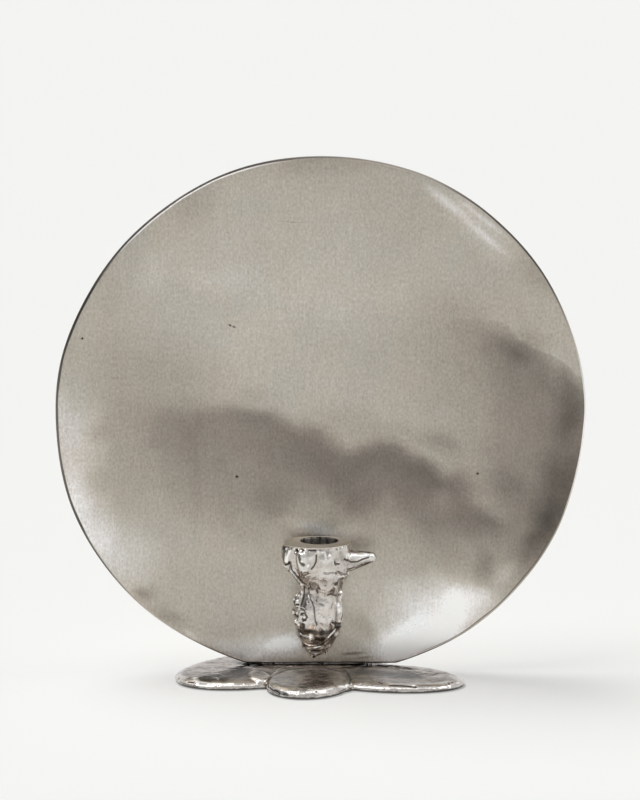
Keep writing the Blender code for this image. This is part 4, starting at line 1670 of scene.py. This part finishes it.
@dataclass
class CandleSocket:
    """The drip-cast socket: layers of wax turned to metal, with a ground top and a candle bore."""

    top: float = 86.3
    tip: float = 11.0
    bore_x: float = -0.4
    bore_y: float = -17.8
    bore_radius: float = 11.45
    bore_depth: float = 20.0
    left: float = -21.05
    right: float = 18.65
    front: float = -40.05
    back: float = -4.35
    wing_reach: float = 34.2
    sides: int = 96
    levels: int = 80
    squareness: float = 0.82
    front_right_squareness: float = 1.1
    grain: float = 0.45 * MM
    flow: int = 20
    wing_root: float = 7.75
    wing_root_top: float = 81.7
    wing_end: float = 3.5
    wing_end_top: float = 80.5
    last_drip: tuple[tuple[Place, float], ...] = (((3.6, -3.2, 17.0), 1.6), ((3.7, -2.2, 13.2), 1.0))
    run_steps: int = 6
    lap_steps: int = 12
    unevenness: Layers = ((0.26, 7, 5.2), (0.16, 3.2, 2.6), (0.06, 1.5, 7.9))
    even_back: float = 3.0
    hollow_steps: int = 30
    hollow_depth: float = 0.42 * MM
    sharp: float = 50.0
    screw_hole_radius: float = 2.8
    screw_hole_depth: float = 10.9
    clearance: float = 0.3
    outline: tuple[tuple[float, float, float, float, float], ...] = (
        (1.06, left, right, front, back),
        (1.00, left, right, front, back),
        (0.92, left, right, front, back),
        (0.84, -19.8, 18.3, -39.2, -3.5),
        (0.76, -16.8, 17.5, -37.6, -1.7),
        (0.69, -13.1, 16.1, -34.6, 0.0),
        (0.62, -10.6, 13.4, -31.5, 4.0),
        (0.55, -13.2, 13.3, -31.5, 4.0),
        (0.47, -15.4, 13.6, -32.5, 4.0),
        (0.37, -15.4, 13.6, -32.5, 4.0),
        (0.29, -15.1, 12.8, -29.9, 4.0),
        (0.22, -13.9, 10.9, -25.3, 4.0),
        (0.15, -12.0, 8.7, -19.5, 4.0),
        (0.09, -9.9, 5.7, -14.3, 4.0),
        (0.03, -6.8, 1.4, -9.1, 4.0),
    )
    runs: tuple[Run, ...] = (
        Run(-168, 0.95, 0.81, 9.0, 8.0, 2.6),
        Run(-116, 0.93, 0.83, 7.0, 8.4, 2.2),
        Run(-76, 0.90, 0.30, 15.0, 17.0, 1.6),
        Run(-148, 0.80, 0.50, 6.0, 7.0, 2.0),
        Run(-28, 0.58, 0.33, 5.4, 6.0, 1.8),
        Run(-170, 0.53, 0.50, 6.4, 6.4, 2.0),
        Run(-172, 0.43, 0.41, 5.6, 5.6, 1.9),
        Run(-150, 0.36, 0.35, 5.8, 5.8, 1.8),
        Run(-105, 0.07, 0.04, 5.2, 4.6, 1.6),
    )
    laps: tuple[Lap, ...] = (
        Lap(0.75, -75, -15, 4.2, 0.9),
        Lap(0.24, -165, -20, 5.0, 1.1),
        Lap(0.13, -160, -30, 4.6, 1.1),
    )
    # dark stains here are tarnish, painted shade and dark reflections; bright ones are painted highlights and
    # rubbed metal
    marks: tuple[Mark, ...] = (
        # left corner of the rim
        Mark(((-21.5, 84.5), (-21.8, 80), (-20.8, 75)), 3.2, 0, 0.75),
        Mark(((-19.8, 76), (-19.3, 80), (-18, 83.5)), 3, 0.8, -1),
        Mark(((-21, 73.3), (-19.3, 74.2), (-18, 76)), 1.1, -0.5, 0.9),
        Mark(((-20, 84.3),), 1.4, 0.4, -1),
        Mark(((-14.3, 84.1),), 2.2, -1.4, 1),
        # crumbs and hollows along the rim's front
        Mark(((-15.5, 85.2),), 1.3, 0.4, -1),
        Mark(((-12.8, 85.3),), 1.3, 0.4, -1),
        Mark(((-11.8, 85.6), (-10, 84.8), (-10.5, 84)), 1.3, -0.3, 0.9),
        Mark(((-6.6, 84.8), (-2.6, 84.8)), 1.3, -0.3, 0.9),
        Mark(((-8.6, 84.9),), 1.8, 0.5, -1),
        Mark(((0.2, 85),), 1.1, -0.2, 0.8),
        Mark(((-1.1, 84.2),), 1.3, 0.35, -1),
        Mark(((1.4, 83.8),), 1.3, 0.35, -1),
        Mark(((9.6, 84.8), (12.3, 85)), 1.1, -0.2, 0.6),
        Mark(((11.3, 85.2),), 1.3, 0.35, -1),
        Mark(((13.4, 85.4),), 1.3, 0.35, -1),
        Mark(((16, 85),), 1.3, 0.35, -1),
        # the round lump and the streaks beside it
        Mark(((-7.3, 79.6),), 8, 1.2, 0.15),
        Mark(((-2.1, 82), (-2.4, 78), (-3.6, 75), (-5.1, 73.2)), 1.1, -0.5, 0.8),
        Mark(((-12.5, 81), (-11.6, 77.6), (-10, 76.1)), 2.4, -0.3, 0.8),
        Mark(((-10.8, 78.3),), 1.5, 0.3, -1),
        Mark(((-7.3, 75.4),), 2.5, 0.4, -0.9),
        Mark(((2.6, 84), (2.8, 81.7), (3.4, 79.7)), 1.2, 0.3, -0.9),
        Mark(((5, 85), (4.3, 82)), 1.6, 0, 0.35),
        Mark(((12.7, 81.4), (13.7, 77.6)), 4.5, -0.3, 0.35),
        Mark(((9, 77.2), (9.8, 75.5), (11.8, 75.1)), 1.1, -0.7, 0.75),
        Mark(((11.3, 76.6),), 1.5, 0.5, -1),
        # the drip off the right of the rim
        # a painted highlight along the drip's top
        Mark(((16.5, 79.2), (22.7, 78.5), (29, 78.2)), 4.2, 0.4, -1),
        Mark(((17.5, 73.6), (23.5, 73.2), (29, 75)), 3.4, -0.2, 0.3),
        Mark(((14.7, 77.6), (18.7, 75.4), (22.7, 75.3), (25.2, 76.7), (29.2, 77.8)), 1.1, -0.4, 0.9),
        Mark(((18.5, 81.6), (21, 81.2), (24, 80.7), (29.5, 80)), 1.5, 0.15, 0.95),
        Mark(((20.5, 69.8), (24.5, 71.6), (28.5, 73.6)), 1.2, -0.3, 0.75),
        Mark(((16.3, 68.3), (17.8, 70.2), (20.3, 71.4)), 1.1, -0.5, 0.7),
        Mark(((2.3, 70.8), (6.8, 70.3), (10.8, 70.2), (13.8, 68.4), (16.8, 67.8)), 1.1, -0.5, 0.35),
        # neck
        Mark(((3.1, 63.8),), 4.4, -0.4, 0.2),
        Mark(((3.1, 62.2),), 1.1, -0.2, 0.8),
        Mark(((9.3, 62.9), (11, 62.9)), 2.6, -0.8, 0.8),
        Mark(((9.8, 64.8),), 1.5, 0.3, -0.7),
        Mark(((14.3, 66.8), (13.6, 61.4), (12.9, 58.5), (13, 54.7)), 1.6, 0.5, -0.6),
        Mark(((16.5, 66.5), (15.2, 61), (14.4, 56)), 1.6, 0, 0.6),
        Mark(((4.8, 55.7), (6.8, 56.1), (10.8, 53.9), (12.8, 54.6)), 1.1, -0.4, 0.6),
        Mark(((-18, 74.2), (-16.5, 70.5), (-13.6, 66.8), (-10.6, 62.9), (-9.1, 62.1)), 1.6, -0.6, 0.75),
        Mark(((-11.4, 61.3), (-10.9, 56.9), (-11.1, 54.3)), 1.6, 0.6, -0.4),
        Mark(((-9.4, 60.5), (-9.6, 55.5), (-10.6, 51.5), (-11.4, 48.6)), 1.2, -0.4, 0.8),
        Mark(((-12.4, 62.1), (-12.3, 55.7)), 1.2, -0.2, 0.8),
        Mark(
            ((-6.1, 63.5), (-5.6, 60.5), (-6.9, 58.5), (-6.6, 55), (-5.1, 51.8), (-3.6, 48.5), (-2.9, 40.4),
             (-2.1, 37.3)),
            1, -0.35, 0.75,
        ),
        # beads down the left of the belly
        Mark(((-12.9, 53.7), (-14.9, 52.2), (-16, 50.5)), 1.9, 0.5, -1),
        Mark(((-15.9, 49.6), (-15.1, 48.1), (-13.1, 49.1)), 1.3, -0.4, 0.9),
        Mark(((-13.9, 50.6),), 1.9, 0.4, -1),
        Mark(((-15.6, 44.4),), 1.2, -0.3, 0.9),
        Mark(((-15.1, 46),), 2.4, 0.7, -1),
        Mark(((-14.1, 43.2),), 2.2, 0.6, -0.9),
        Mark(((-15.4, 41), (-13.2, 41.6)), 1.3, -0.4, 0.9),
        Mark(((-15.1, 38.1),), 1.9, 0.5, -0.9),
        Mark(((-12.9, 36),), 1.9, 0.4, -1),
        Mark(((-11.6, 47.1), (-9.6, 46.5), (-8.6, 44.7)), 1.2, -0.3, 0.7),
        Mark(((-11.6, 43.4), (-9.6, 44.3), (-7.9, 42.5), (-8.6, 40.6), (-10.6, 39.5)), 1.2, -0.5, 0.85),
        Mark(((-10.1, 41.9),), 1.6, 0.3, -0.3),
        # specks, and painted highlights down the right side of the belly
        Mark(((-7.1, 50.9),), 1.2, -0.2, 0.6),
        Mark(((-5.6, 48.4),), 1.1, -0.2, 0.5),
        Mark(((-2.6, 52.2),), 1.1, -0.2, 0.5),
        Mark(((-0.1, 50.8), (2.1, 50)), 1.6, -0.2, 0.5),
        Mark(((7.8, 50.7), (6.6, 47.8)), 1.2, -0.2, 0.5),
        Mark(((9.3, 50.2), (10.9, 47.5), (11.6, 44.1)), 2.6, 0.5, -0.8),
        Mark(((13.4, 51), (13.9, 46), (13.6, 41), (12.6, 38)), 1.1, -0.3, 0.9),
        Mark(((7.3, 38.7), (9.8, 36.8), (12.1, 36.1)), 1.4, -0.4, 0.85),
        Mark(((12.1, 38),), 1.3, 0.4, -1),
        # painted shade and tarnish on the underside, with painted highlights on its laps
        Mark(((-12.5, 31.5), (-6, 33), (0, 32.2), (6, 32.6), (11, 34.5)), 4.6, 0, 0.8),
        Mark(((-12.5, 27), (-6, 28), (0, 28), (8, 30)), 5, 0, 0.65),
        Mark(((-9.5, 22), (-4, 22), (3, 23.5)), 5.5, 0, 0.65),
        Mark(((-5.5, 17), (0, 18.5)), 5, 0, 0.7),
        Mark(((-5.6, 29.6), (-5.1, 26.3)), 3.4, 0.8, -1),
        Mark(((-10.2, 23.8), (-6.7, 22), (-2.2, 22.2), (2.3, 26), (6.8, 31.3), (9.3, 33.6)), 1.3, 0.5, -0.8),
        Mark(((-2.2, 20.6), (0.9, 21.4), (4.9, 24.4), (7.8, 28.3)), 1.1, 0.4, -0.6),
        Mark(((-2.9, 20.4),), 1.5, 0.4, -1),
        Mark(((-6.2, 17.5),), 1.5, 0.4, -0.8),
        Mark(((-11.6, 30.3),), 1.4, 0.4, -0.8),
        Mark(((-6.2, 17.2), (-3.2, 14.9), (-0.2, 15.6)), 2.6, 0.6),
    )
    face: float = field(init=False)

    def build(self) -> Item:
        """Builds the socket.

        Returns:
            The socket.
        """
        self.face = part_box("reflector_plate")[0].y
        socket = self._rough_form()
        cast_skin(socket, self.grain, self.flow)
        skin = Skin(socket, self.face)
        clear = np.clip((self.face - skin.places[:, 1]) / MM / self.even_back, 0, 1)
        rise, stain = skin.lay(self.marks, Sight.FRONT)
        skin.push((rise + skin.unevenness(self.unevenness)) * clear)
        skin.store("hollow", skin.hollows(self.hollow_steps, self.hollow_depth))
        skin.store("stain", stain)
        cut(socket, self._cutters())
        shade(socket.data, self.sharp)
        return socket

    def dress(self, socket: Item) -> None:
        """Gives the socket its polished finish, with a ground top and a sooty bore.

        Args:
            socket: the socket.
        """
        finish = CastNickel(
            name="polished_cast_nickel",
            soot_and_shade=(0.045, 0.036, 0.028),
            fleck=0.36,
            sunk=0.6,
            peel=0.2 * MM,
            ground_height=self.top * MM,
            bore=(self.bore_x * MM, self.bore_y * MM + self.face, (self.top - self.bore_depth) * MM),
            bore_radius=self.bore_radius * MM,
        )
        dress(socket, finish.material(), Slot.SOCKET, "candle_socket")

    def _spot(self, x: float, y: float, z: float) -> Vector:
        """A place given in mm from the plate's face, in the part's frame."""
        return Vector((x * MM, y * MM + self.face, z * MM))

    def _sides(self, share: float) -> list[float]:
        """The body's width and depth, by a smooth curve through the outline's rows.

        Args:
            share: how high, as a share of the height.

        Returns:
            Its left, right, front and back.
        """
        rows = self.outline[::-1]
        share = min(max(share, rows[0][0]), rows[-1][0])
        index = max(i for i in range(len(rows) - 1) if rows[i][0] <= share)
        nearest = (min(max(index + step, 0), len(rows) - 1) for step in (-1, 0, 1, 2))
        below, low, high, above = (rows[row] for row in nearest)
        span = high[0] - low[0]
        t = (share - low[0]) / span
        found = []
        for side in range(1, 5):
            rise_low = (high[side] - below[side]) / max(high[0] - below[0], span) * span
            rise_high = (above[side] - low[side]) / max(above[0] - low[0], span) * span
            blend = (2 * t**3 - 3 * t**2 + 1) * low[side] + (t**3 - 2 * t**2 + t) * rise_low
            found.append(blend + (3 * t**2 - 2 * t**3) * high[side] + (t**3 - t**2) * rise_high)
        return found

    def _point(self, share: float, turn: float, sunk: float = 0.0) -> Vector:
        """A place on the body.

        Args:
            share: how high, as a share of the height.
            turn: the turn round the body in radians, from the right and to the back.
            sunk: how far below the skin, in mm.

        Returns:
            The place.
        """
        left, right, front, back = self._sides(share)
        across, along = math.cos(turn), math.sin(turn)
        pointed = max(across, 0) * max(-along, 0) * 2
        power = self.squareness + (self.front_right_squareness - self.squareness) * pointed
        skin = Vector(
            (
                math.copysign(abs(across) ** power, across) * (right - left) / 2,
                math.copysign(abs(along) ** power, along) * (back - front) / 2,
            )
        )
        spot = Vector(((left + right) / 2, (front + back) / 2)) + skin - skin.normalized() * sunk
        return self._spot(spot.x, spot.y, self.tip + share * (self.top - self.tip))

    def _rough_form(self) -> Item:
        """The body, runs, laps, wing and last drip, as shapes that pass through each other.

        Returns:
            The form, not yet melted into one skin.
        """
        first, last = self.outline[-1][0], self.outline[0][0]
        shares = [first + (last - first) * level / self.levels for level in range(self.levels + 1)]
        turns = [math.tau * side / self.sides for side in range(self.sides)]
        rings = [[self._point(share, turn) for turn in turns] for share in shares]
        form = new_object("drip_cast_socket", loft(rings))
        balls = []
        for run in self.runs:
            steps = [step / self.run_steps for step in range(self.run_steps + 1)]
            radii = [(run.thick + (run.thin - run.thick) * step) / 2 for step in steps]
            places = []
            for step, radius in zip(steps, radii):
                share = run.start + (run.end - run.start) * step
                places.append(self._point(share, math.radians(run.turn), radius - run.proud))
            balls += self._chain(places, radii)
        for lap in self.laps:
            steps = [step / self.lap_steps for step in range(self.lap_steps + 1)]
            turns = [lap.start + (lap.end - lap.start) * step for step in steps]
            sunk = lap.thickness / 2 - lap.proud
            places = [self._point(lap.share, math.radians(turn), sunk) for turn in turns]
            balls += self._chain(places, [lap.thickness / 2] * len(places))
        wing_y = (self.front + self.back) / 2
        root = self._spot(self.right - self.wing_root, wing_y, self.wing_root_top - self.wing_root)
        end = self._spot(self.wing_reach - self.wing_end, wing_y, self.wing_end_top - self.wing_end)
        balls += self._chain([root, end], [self.wing_root, self.wing_end])
        places = [self._spot(*place) for place, _ in self.last_drip]
        balls += self._chain(places, [radius for _, radius in self.last_drip])
        add_balls(form, balls)
        return form

    @staticmethod
    def _chain(places: Sequence[Vector], radii: Sequence[float]) -> list[tuple[Vector, float]]:
        """Balls along a line of places, close enough to flow together; radii are in mm.

        Args:
            places: the line's places.
            radii: the balls' radii there, in mm.

        Returns:
            The middle and radius of each ball.
        """
        balls = []
        for (start, end), (thick, thin) in zip(zip(places, places[1:]), zip(radii, radii[1:])):
            spacing = 0.2 * min(thick, thin) * MM
            count = max(2, math.ceil((end - start).length / spacing))
            for step in range(count + 1):
                share = step / count
                balls.append((start.lerp(end, share), (thick + (thin - thick) * share) * MM))
        return balls

    def _cutters(self) -> list[Item]:
        """Cutters for the ground top, the back face, the bore and the screw holes.

        Returns:
            The cutters.
        """
        room = 0.2
        top, back = self.top * MM, self.face - self.clearance * MM
        bore_top = self._spot(self.bore_x, self.bore_y, self.top + 3)
        bore_floor = self._spot(self.bore_x, self.bore_y, self.top - self.bore_depth)
        cutters = [
            block("ground_top", (-room, -room, top), (room, room, top + room)),
            block("ground_back", (-room, back, -room), (room, self.face + room, room)),
            rod("candle_bore", self.bore_radius * MM, bore_floor, bore_top, 128),
        ]
        for node in SOCKET_SCREWS:
            x, _, z = middle_of(node)
            start = Vector((x, self.face - self.screw_hole_depth * MM, z))
            end = Vector((x, self.face + 3 * MM, z))
            cutters.append(rod(f"{node}_seat", self.screw_hole_radius * MM, start, end))
        return cutters


@dataclass
class Screw:
    """A machine screw, head up, with a thread and a hexagon key hole; its sizes are in mm."""

    node: str
    head: Points
    shank: float
    length: float
    pitch: float
    key: float
    key_depth: float = 1.3
    key_cutter: float = 4.0
    groove: float = 0.54
    point: float = 0.72
    sides: int = 48
    rows_per_turn: int = 8
    sharp: float = 35.0

    def build(self, turn: Matrix) -> Item:
        """Builds the screw in its packed place.

        Args:
            turn: how it is turned from its own axis; its head's seat is at its origin.

        Returns:
            The screw.
        """
        rings = [circle(radius, height, self.sides) for radius, height in self.head] + self._thread()
        shape = loft([[point * MM for point in ring] for ring in rings])
        corner = self.key / math.sqrt(3) * MM
        key = lathe([(corner, 0.0), (corner, self.key_cutter * MM)], 6)
        head_top = self.head[0][1]
        bmesh.ops.translate(key, vec=(0, 0, (head_top - self.key_depth) * MM), verts=key.verts)
        low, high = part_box(self.node)
        reach = turn @ Vector((0, 0, 1))
        span = abs(reach.dot(high - low))
        seat = middle_of(self.node) + reach * (span / 2 - head_top * MM)
        place = Matrix.Translation(seat) @ turn.to_4x4()
        for made in (shape, key):
            bmesh.ops.transform(made, matrix=place, verts=made.verts)
        screw = new_object(f"{self.node}_threaded", shape)
        cut(screw, [new_object("key_hole", key)])
        shade(screw.data, self.sharp)
        return screw

    def _thread(self) -> list[Ring]:
        """The threaded shank, whose groove runs out below the head.

        Returns:
            Its rings in mm, from the head's seat down to the point.
        """
        rows = round(self.length / self.pitch * self.rows_per_turn)
        groove = self.groove * self.pitch
        rings = []
        for row in range(rows + 1):
            height = -self.length * row / rows
            full = min(1.0, (self.length + height) / groove)
            ring = []
            for side in range(self.sides):
                share = (height / self.pitch + side / self.sides) % 1
                depth = groove * abs(2 * share - 1) * min(1.0, row / self.rows_per_turn)
                radius = (self.shank - depth) * (self.point + (1 - self.point) * full)
                angle = math.tau * side / self.sides
                ring.append(Vector((radius * math.cos(angle), radius * math.sin(angle), height)))
            rings.append(ring)
        return rings


@dataclass
class Fixings:
    """The screws and washers that hold the socket and the foot on the plate."""

    flat: float = 0.3
    button_head: float = 4.75
    button_height: float = 2.8
    button_edge: float = 0.35
    button_fullness: float = 0.9
    button_bevel: float = 0.1
    button_steps: int = 12
    socket_shank: float = 2.5
    socket_length: float = 18.0
    socket_pitch: float = 0.8
    socket_key: float = 3.0
    foot_head: float = 3.75
    foot_head_height: float = 2.0
    foot_bevel: float = 0.12
    foot_shank: float = 2.0
    foot_length: float = 15.0
    foot_pitch: float = 0.7
    foot_key: float = 2.5
    washer_hole: float = 2.8
    washer_round: float = 0.22
    washer_sides: int = 64
    sharp: float = 35.0

    def build(self, steel: bpy.types.Material) -> None:
        """Builds and dresses the screws and washers.

        Args:
            steel: their material.
        """
        to_back = Matrix.Rotation(math.radians(-90), 3, "X")
        to_floor = Matrix.Rotation(math.radians(180), 3, "X")
        sizes = (self.socket_shank, self.socket_length, self.socket_pitch, self.socket_key)
        for node in SOCKET_SCREWS:
            dress(Screw(node, self._button(), *sizes).build(to_back), steel, Slot.FASTENER, node)
            node = node.replace("screw", "washer")
            dress(self._washer(node, to_back), steel, Slot.FASTENER, node)
        sizes = (self.foot_shank, self.foot_length, self.foot_pitch, self.foot_key)
        for node in BASE_SCREWS:
            dress(Screw(node, self._countersunk(), *sizes).build(to_floor), steel, Slot.FASTENER, node)

    def _button(self) -> Points:
        """The profile of a button head.

        Returns:
            Its radii and heights, from the middle of its top to the shank.
        """
        profile = [(self.flat, self.button_height)]
        for step in range(1, self.button_steps + 1):
            angle = math.pi / 2 * step / self.button_steps
            height = self.button_edge + (self.button_height - self.button_edge) * math.cos(angle)
            profile.append((self.button_head * math.sin(angle) ** self.button_fullness, height))
        profile.append((self.button_head, self.button_bevel))
        profile.append((self.button_head - self.button_bevel, 0.0))
        return (*profile, (self.socket_shank, 0.0))

    def _countersunk(self) -> Points:
        """The radii and heights of a countersunk head, from the middle of its top to the shank."""
        rim = ((self.foot_head - self.foot_bevel, 0.0), (self.foot_head, -self.foot_bevel))
        return ((self.flat, 0.0), *rim, (self.foot_shank, -self.foot_head_height))

    def _washer(self, node: str, turn: Matrix) -> Item:
        """A washer with rounded edges.

        Args:
            node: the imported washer.
            turn: how it is turned from the Z axis.

        Returns:
            The washer.
        """
        low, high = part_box(node)
        outer, thickness = (high.x - low.x) / 2 / MM, (high.y - low.y) / MM
        inner, soft = self.washer_hole, self.washer_round
        profile = [
            (inner + soft, 0.0), (outer - soft, 0.0), (outer, soft), (outer, thickness - soft),
            (outer - soft, thickness), (inner + soft, thickness), (inner, thickness - soft), (inner, soft),
        ]
        rings = [circle(radius * MM, height * MM, self.washer_sides) for radius, height in profile]
        shape = loft(rings, hoop=True)
        x, _, z = middle_of(node)
        place = Matrix.Translation((x, low.y, z)) @ turn.to_4x4()
        bmesh.ops.transform(shape, matrix=place, verts=shape.verts)
        return new_object(f"{node}_rounded", shape, self.sharp)


@dataclass
class FeltPads:
    """Four felt discs let into the underside of the foot."""

    edge: float = 0.3 * MM
    edge_middle: float = 0.3
    rings: int = 8
    sides: int = 96
    nap: float = 0.06 * MM
    nap_size: float = 0.9 * MM
    seed: float = 4.4

    def build(self, felt: bpy.types.Material) -> None:
        """Builds and dresses the pads.

        Args:
            felt: their material.
        """
        for node in FOOT_PADS:
            low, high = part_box(node)
            radius, height = (high.x - low.x) / 2, high.z - low.z
            soft = self.edge_middle * self.edge
            profile = [(radius * ring / self.rings, 0.0) for ring in range(1, self.rings)]
            profile += [(radius - self.edge, 0.0), (radius - soft, soft), (radius, self.edge)]
            profile += [(radius, height - self.edge), (radius - self.edge, height), (0.4 * radius, height)]
            shape = lathe(profile, self.sides)
            x, y, _ = middle_of(node)
            bmesh.ops.translate(shape, vec=(x, y, low.z), verts=shape.verts)
            pad = new_object(f"{node}_pressed", shape)
            skin = Skin(pad)
            skin.push(-(0.5 + 0.5 * skin.lumps(self.nap_size, self.seed)) * self.nap)
            dress(pad, felt, Slot.PAD, node)


@dataclass(frozen=True)
class Softbox:
    """A rectangular light in the sky of the studio, by its direction and its half sizes as tangents."""

    azimuth: float
    elevation: float
    half_width: float
    half_height: float
    strength: float
    soft: float = 0.12

    def shine(self, graph: Graph, direction: Value) -> Value:
        """What the light adds to the sky.

        Args:
            graph: the sky's graph.
            direction: the direction in which the sky is looked at.

        Returns:
            Its strength inside its outline, fading to 0 outside.
        """
        axis = bearing(self.azimuth, self.elevation)
        aside = axis.cross(Vector((0, 0, 1))).normalized()
        up = aside.cross(axis)
        ahead = graph.dot(direction, axis)
        near = ahead.at_least(0.05)
        across = abs(graph.dot(direction, aside) / near)
        along = abs(graph.dot(direction, up) / near)
        edge = across.smooth(self.half_width + self.soft, self.half_width - self.soft)
        edge = edge * along.smooth(self.half_height + self.soft, self.half_height - self.soft)
        return edge * ahead.smooth(0.05, 0.15) * self.strength


@dataclass(frozen=True)
class FloorLamp:
    """A wide far lamp that lights the floor alone: its direction, its spread and its share of light."""

    azimuth: float
    elevation: float
    spread: float
    share: float


@dataclass
class Studio:
    """The pale floor, the soft light all round and the camera."""

    page: Colour = (0.905, 0.905, 0.888)
    floor_glow: float = 0.34
    floor_albedo: float = 0.60
    lamps: tuple[FloorLamp, ...] = (
        FloorLamp(-84, 68, 44, 0.46),
        FloorLamp(-90, 66, 12, 0.14),
        FloorLamp(-135, 65, 36, 0.40),
    )
    floor_reach: float = 60.0
    dome: float = 0.80
    behind: float = 0.90
    front_shade: float = -0.27
    left_shade: float = -0.60
    dimmest: float = 0.06
    softboxes: tuple[Softbox, ...] = (
        Softbox(-48, 46, 0.32, 0.17, 3.4, 0.06),
        Softbox(62, 38, 0.22, 0.40, 1.4, 0.06),
        Softbox(-8, 66, 0.40, 0.08, 1.9, 0.05),
    )
    camera_distance: float = 2.46352
    camera_height: float = 0.58413
    camera_pitch: float = 9.562983
    focal_pixels: float = 4145.05
    sensor: float = 36.0

    def build(self) -> None:
        """Builds the floor, the light and the camera."""
        self._floor()
        self._floor_lamps()
        self._sky()
        self._camera()

    def _floor(self) -> None:
        """A pale floor that glows a little, so that shadows stay as faint as on a lit sweep."""
        shape = bmesh.new()
        bmesh.ops.create_grid(shape, x_segments=1, y_segments=1, size=self.floor_reach)
        floor = new_object("pale_floor", shape)
        made = bpy.data.materials.new("pale_sweep")
        made.use_nodes = True
        graph = Graph(made.node_tree)
        shader = made.node_tree.nodes["Principled BSDF"]
        shader.inputs["Roughness"].default_value = 1.0
        shader.inputs["Specular IOR Level"].default_value = 0.0
        shader.inputs["Emission Strength"].default_value = self.floor_glow
        paper = graph.noise(graph.place(), 0.5) * 0.01 + self.floor_albedo - 0.005
        tint = tuple(share / self.page[0] for share in self.page)
        tinted = graph.mix(1.0, self._grey(graph, paper), tint, "MULTIPLY")
        graph.tree.links.new(tinted.socket, shader.inputs["Base Color"])
        shader.inputs["Emission Color"].default_value = (*tint, 1.0)
        floor.data.materials.append(made)

    def _floor_lamps(self) -> None:
        """Lamps for the floor, which the metal doesn't mirror."""
        lit = self.page[0] - self.floor_glow
        for lamp in self.lamps:
            away = bearing(lamp.azimuth, lamp.elevation)
            name = f"floor_lamp_{round(abs(lamp.azimuth))}"
            sun = bpy.data.lights.new(name, "SUN")
            sun.angle = math.radians(lamp.spread)
            sun.energy = lamp.share * lit / self.floor_albedo * math.pi / away.z
            item = bpy.data.objects.new(name, sun)
            item.rotation_euler = away.to_track_quat("Z", "Y").to_euler()
            item.visible_glossy = False
            bpy.context.scene.collection.objects.link(item)

    @staticmethod
    def _grey(graph: Graph, level: Value) -> Value:
        """A grey of a level."""
        return graph.value("CombineColor", None, {0: level, 1: level, 2: level})

    def _sky(self) -> None:
        """Light from all round: white behind and above, dim on the camera's side, with softboxes."""
        world = bpy.data.worlds.new("studio_light")
        bpy.context.scene.world = world
        world.use_nodes = True
        world.cycles_visibility.diffuse = False
        graph = Graph(world.node_tree)
        direction = graph.value("TexCoord", output="Generated")
        split = graph.node("SeparateXYZ", None, {0: direction})
        back, up = Value(graph, split.outputs["Y"]), Value(graph, split.outputs["Z"])
        level = up.smooth(0.0, 0.8) * (self.dome - self.behind) + self.behind
        low = up.smooth(0.75, 0.35)
        level = level + back.smooth(0.1, -0.5) * low * self.front_shade
        aside = Value(graph, split.outputs["X"]) * -1.0
        level = level + aside.smooth(0.75, 0.92) * up.smooth(0.5, 0.3) * self.left_shade
        level = level.at_least(self.dimmest)
        for softbox in self.softboxes:
            level = level + softbox.shine(graph, direction)
        background = world.node_tree.nodes["Background"]
        backdrop = graph.node("Background", None, {"Color": (*self.page, 1.0), "Strength": 1.0})
        graph.tree.links.new(self._grey(graph, level).socket, background.inputs["Color"])
        seen = graph.value("LightPath", output="Is Camera Ray")
        unseen, plain = Value(graph, background.outputs[0]), Value(graph, backdrop.outputs[0])
        mixed = graph.node("MixShader", None, {0: seen, 1: unseen, 2: plain})
        output = world.node_tree.nodes["World Output"]
        graph.tree.links.new(mixed.outputs[0], output.inputs["Surface"])

    def _camera(self) -> None:
        """The camera, looking slightly down at the middle of the plate."""
        lens = bpy.data.cameras.new("camera")
        lens.sensor_width = self.sensor
        lens.lens = self.focal_pixels * self.sensor / PAGE_HEIGHT
        lens.clip_end = 200.0
        camera = bpy.data.objects.new("camera", lens)
        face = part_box("reflector_plate")[0].y
        camera.location = (0.0, face - self.camera_distance, self.camera_height)
        camera.rotation_euler = (math.pi / 2 - math.radians(self.camera_pitch), 0.0, 0.0)
        bpy.context.scene.collection.objects.link(camera)
        bpy.context.scene.camera = camera


def main() -> None:
    """Builds and dresses every piece of the holder, and sets the studio round it."""
    logging.basicConfig(level=logging.INFO, format="%(name)s: %(message)s")
    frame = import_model()
    log.info("%d packed nodes", len(frame["nodes"]))
    for assembly in (ReflectorPlate(), PuddleFoot(), CandleSocket()):
        assembly.dress(assembly.build())
    Fixings().build(TurnedSteel().material())
    FeltPads().build(Felt().material())
    Studio().build()
    bpy.context.scene.view_settings.view_transform = "Standard"


if __name__ == "__main__":
    main()
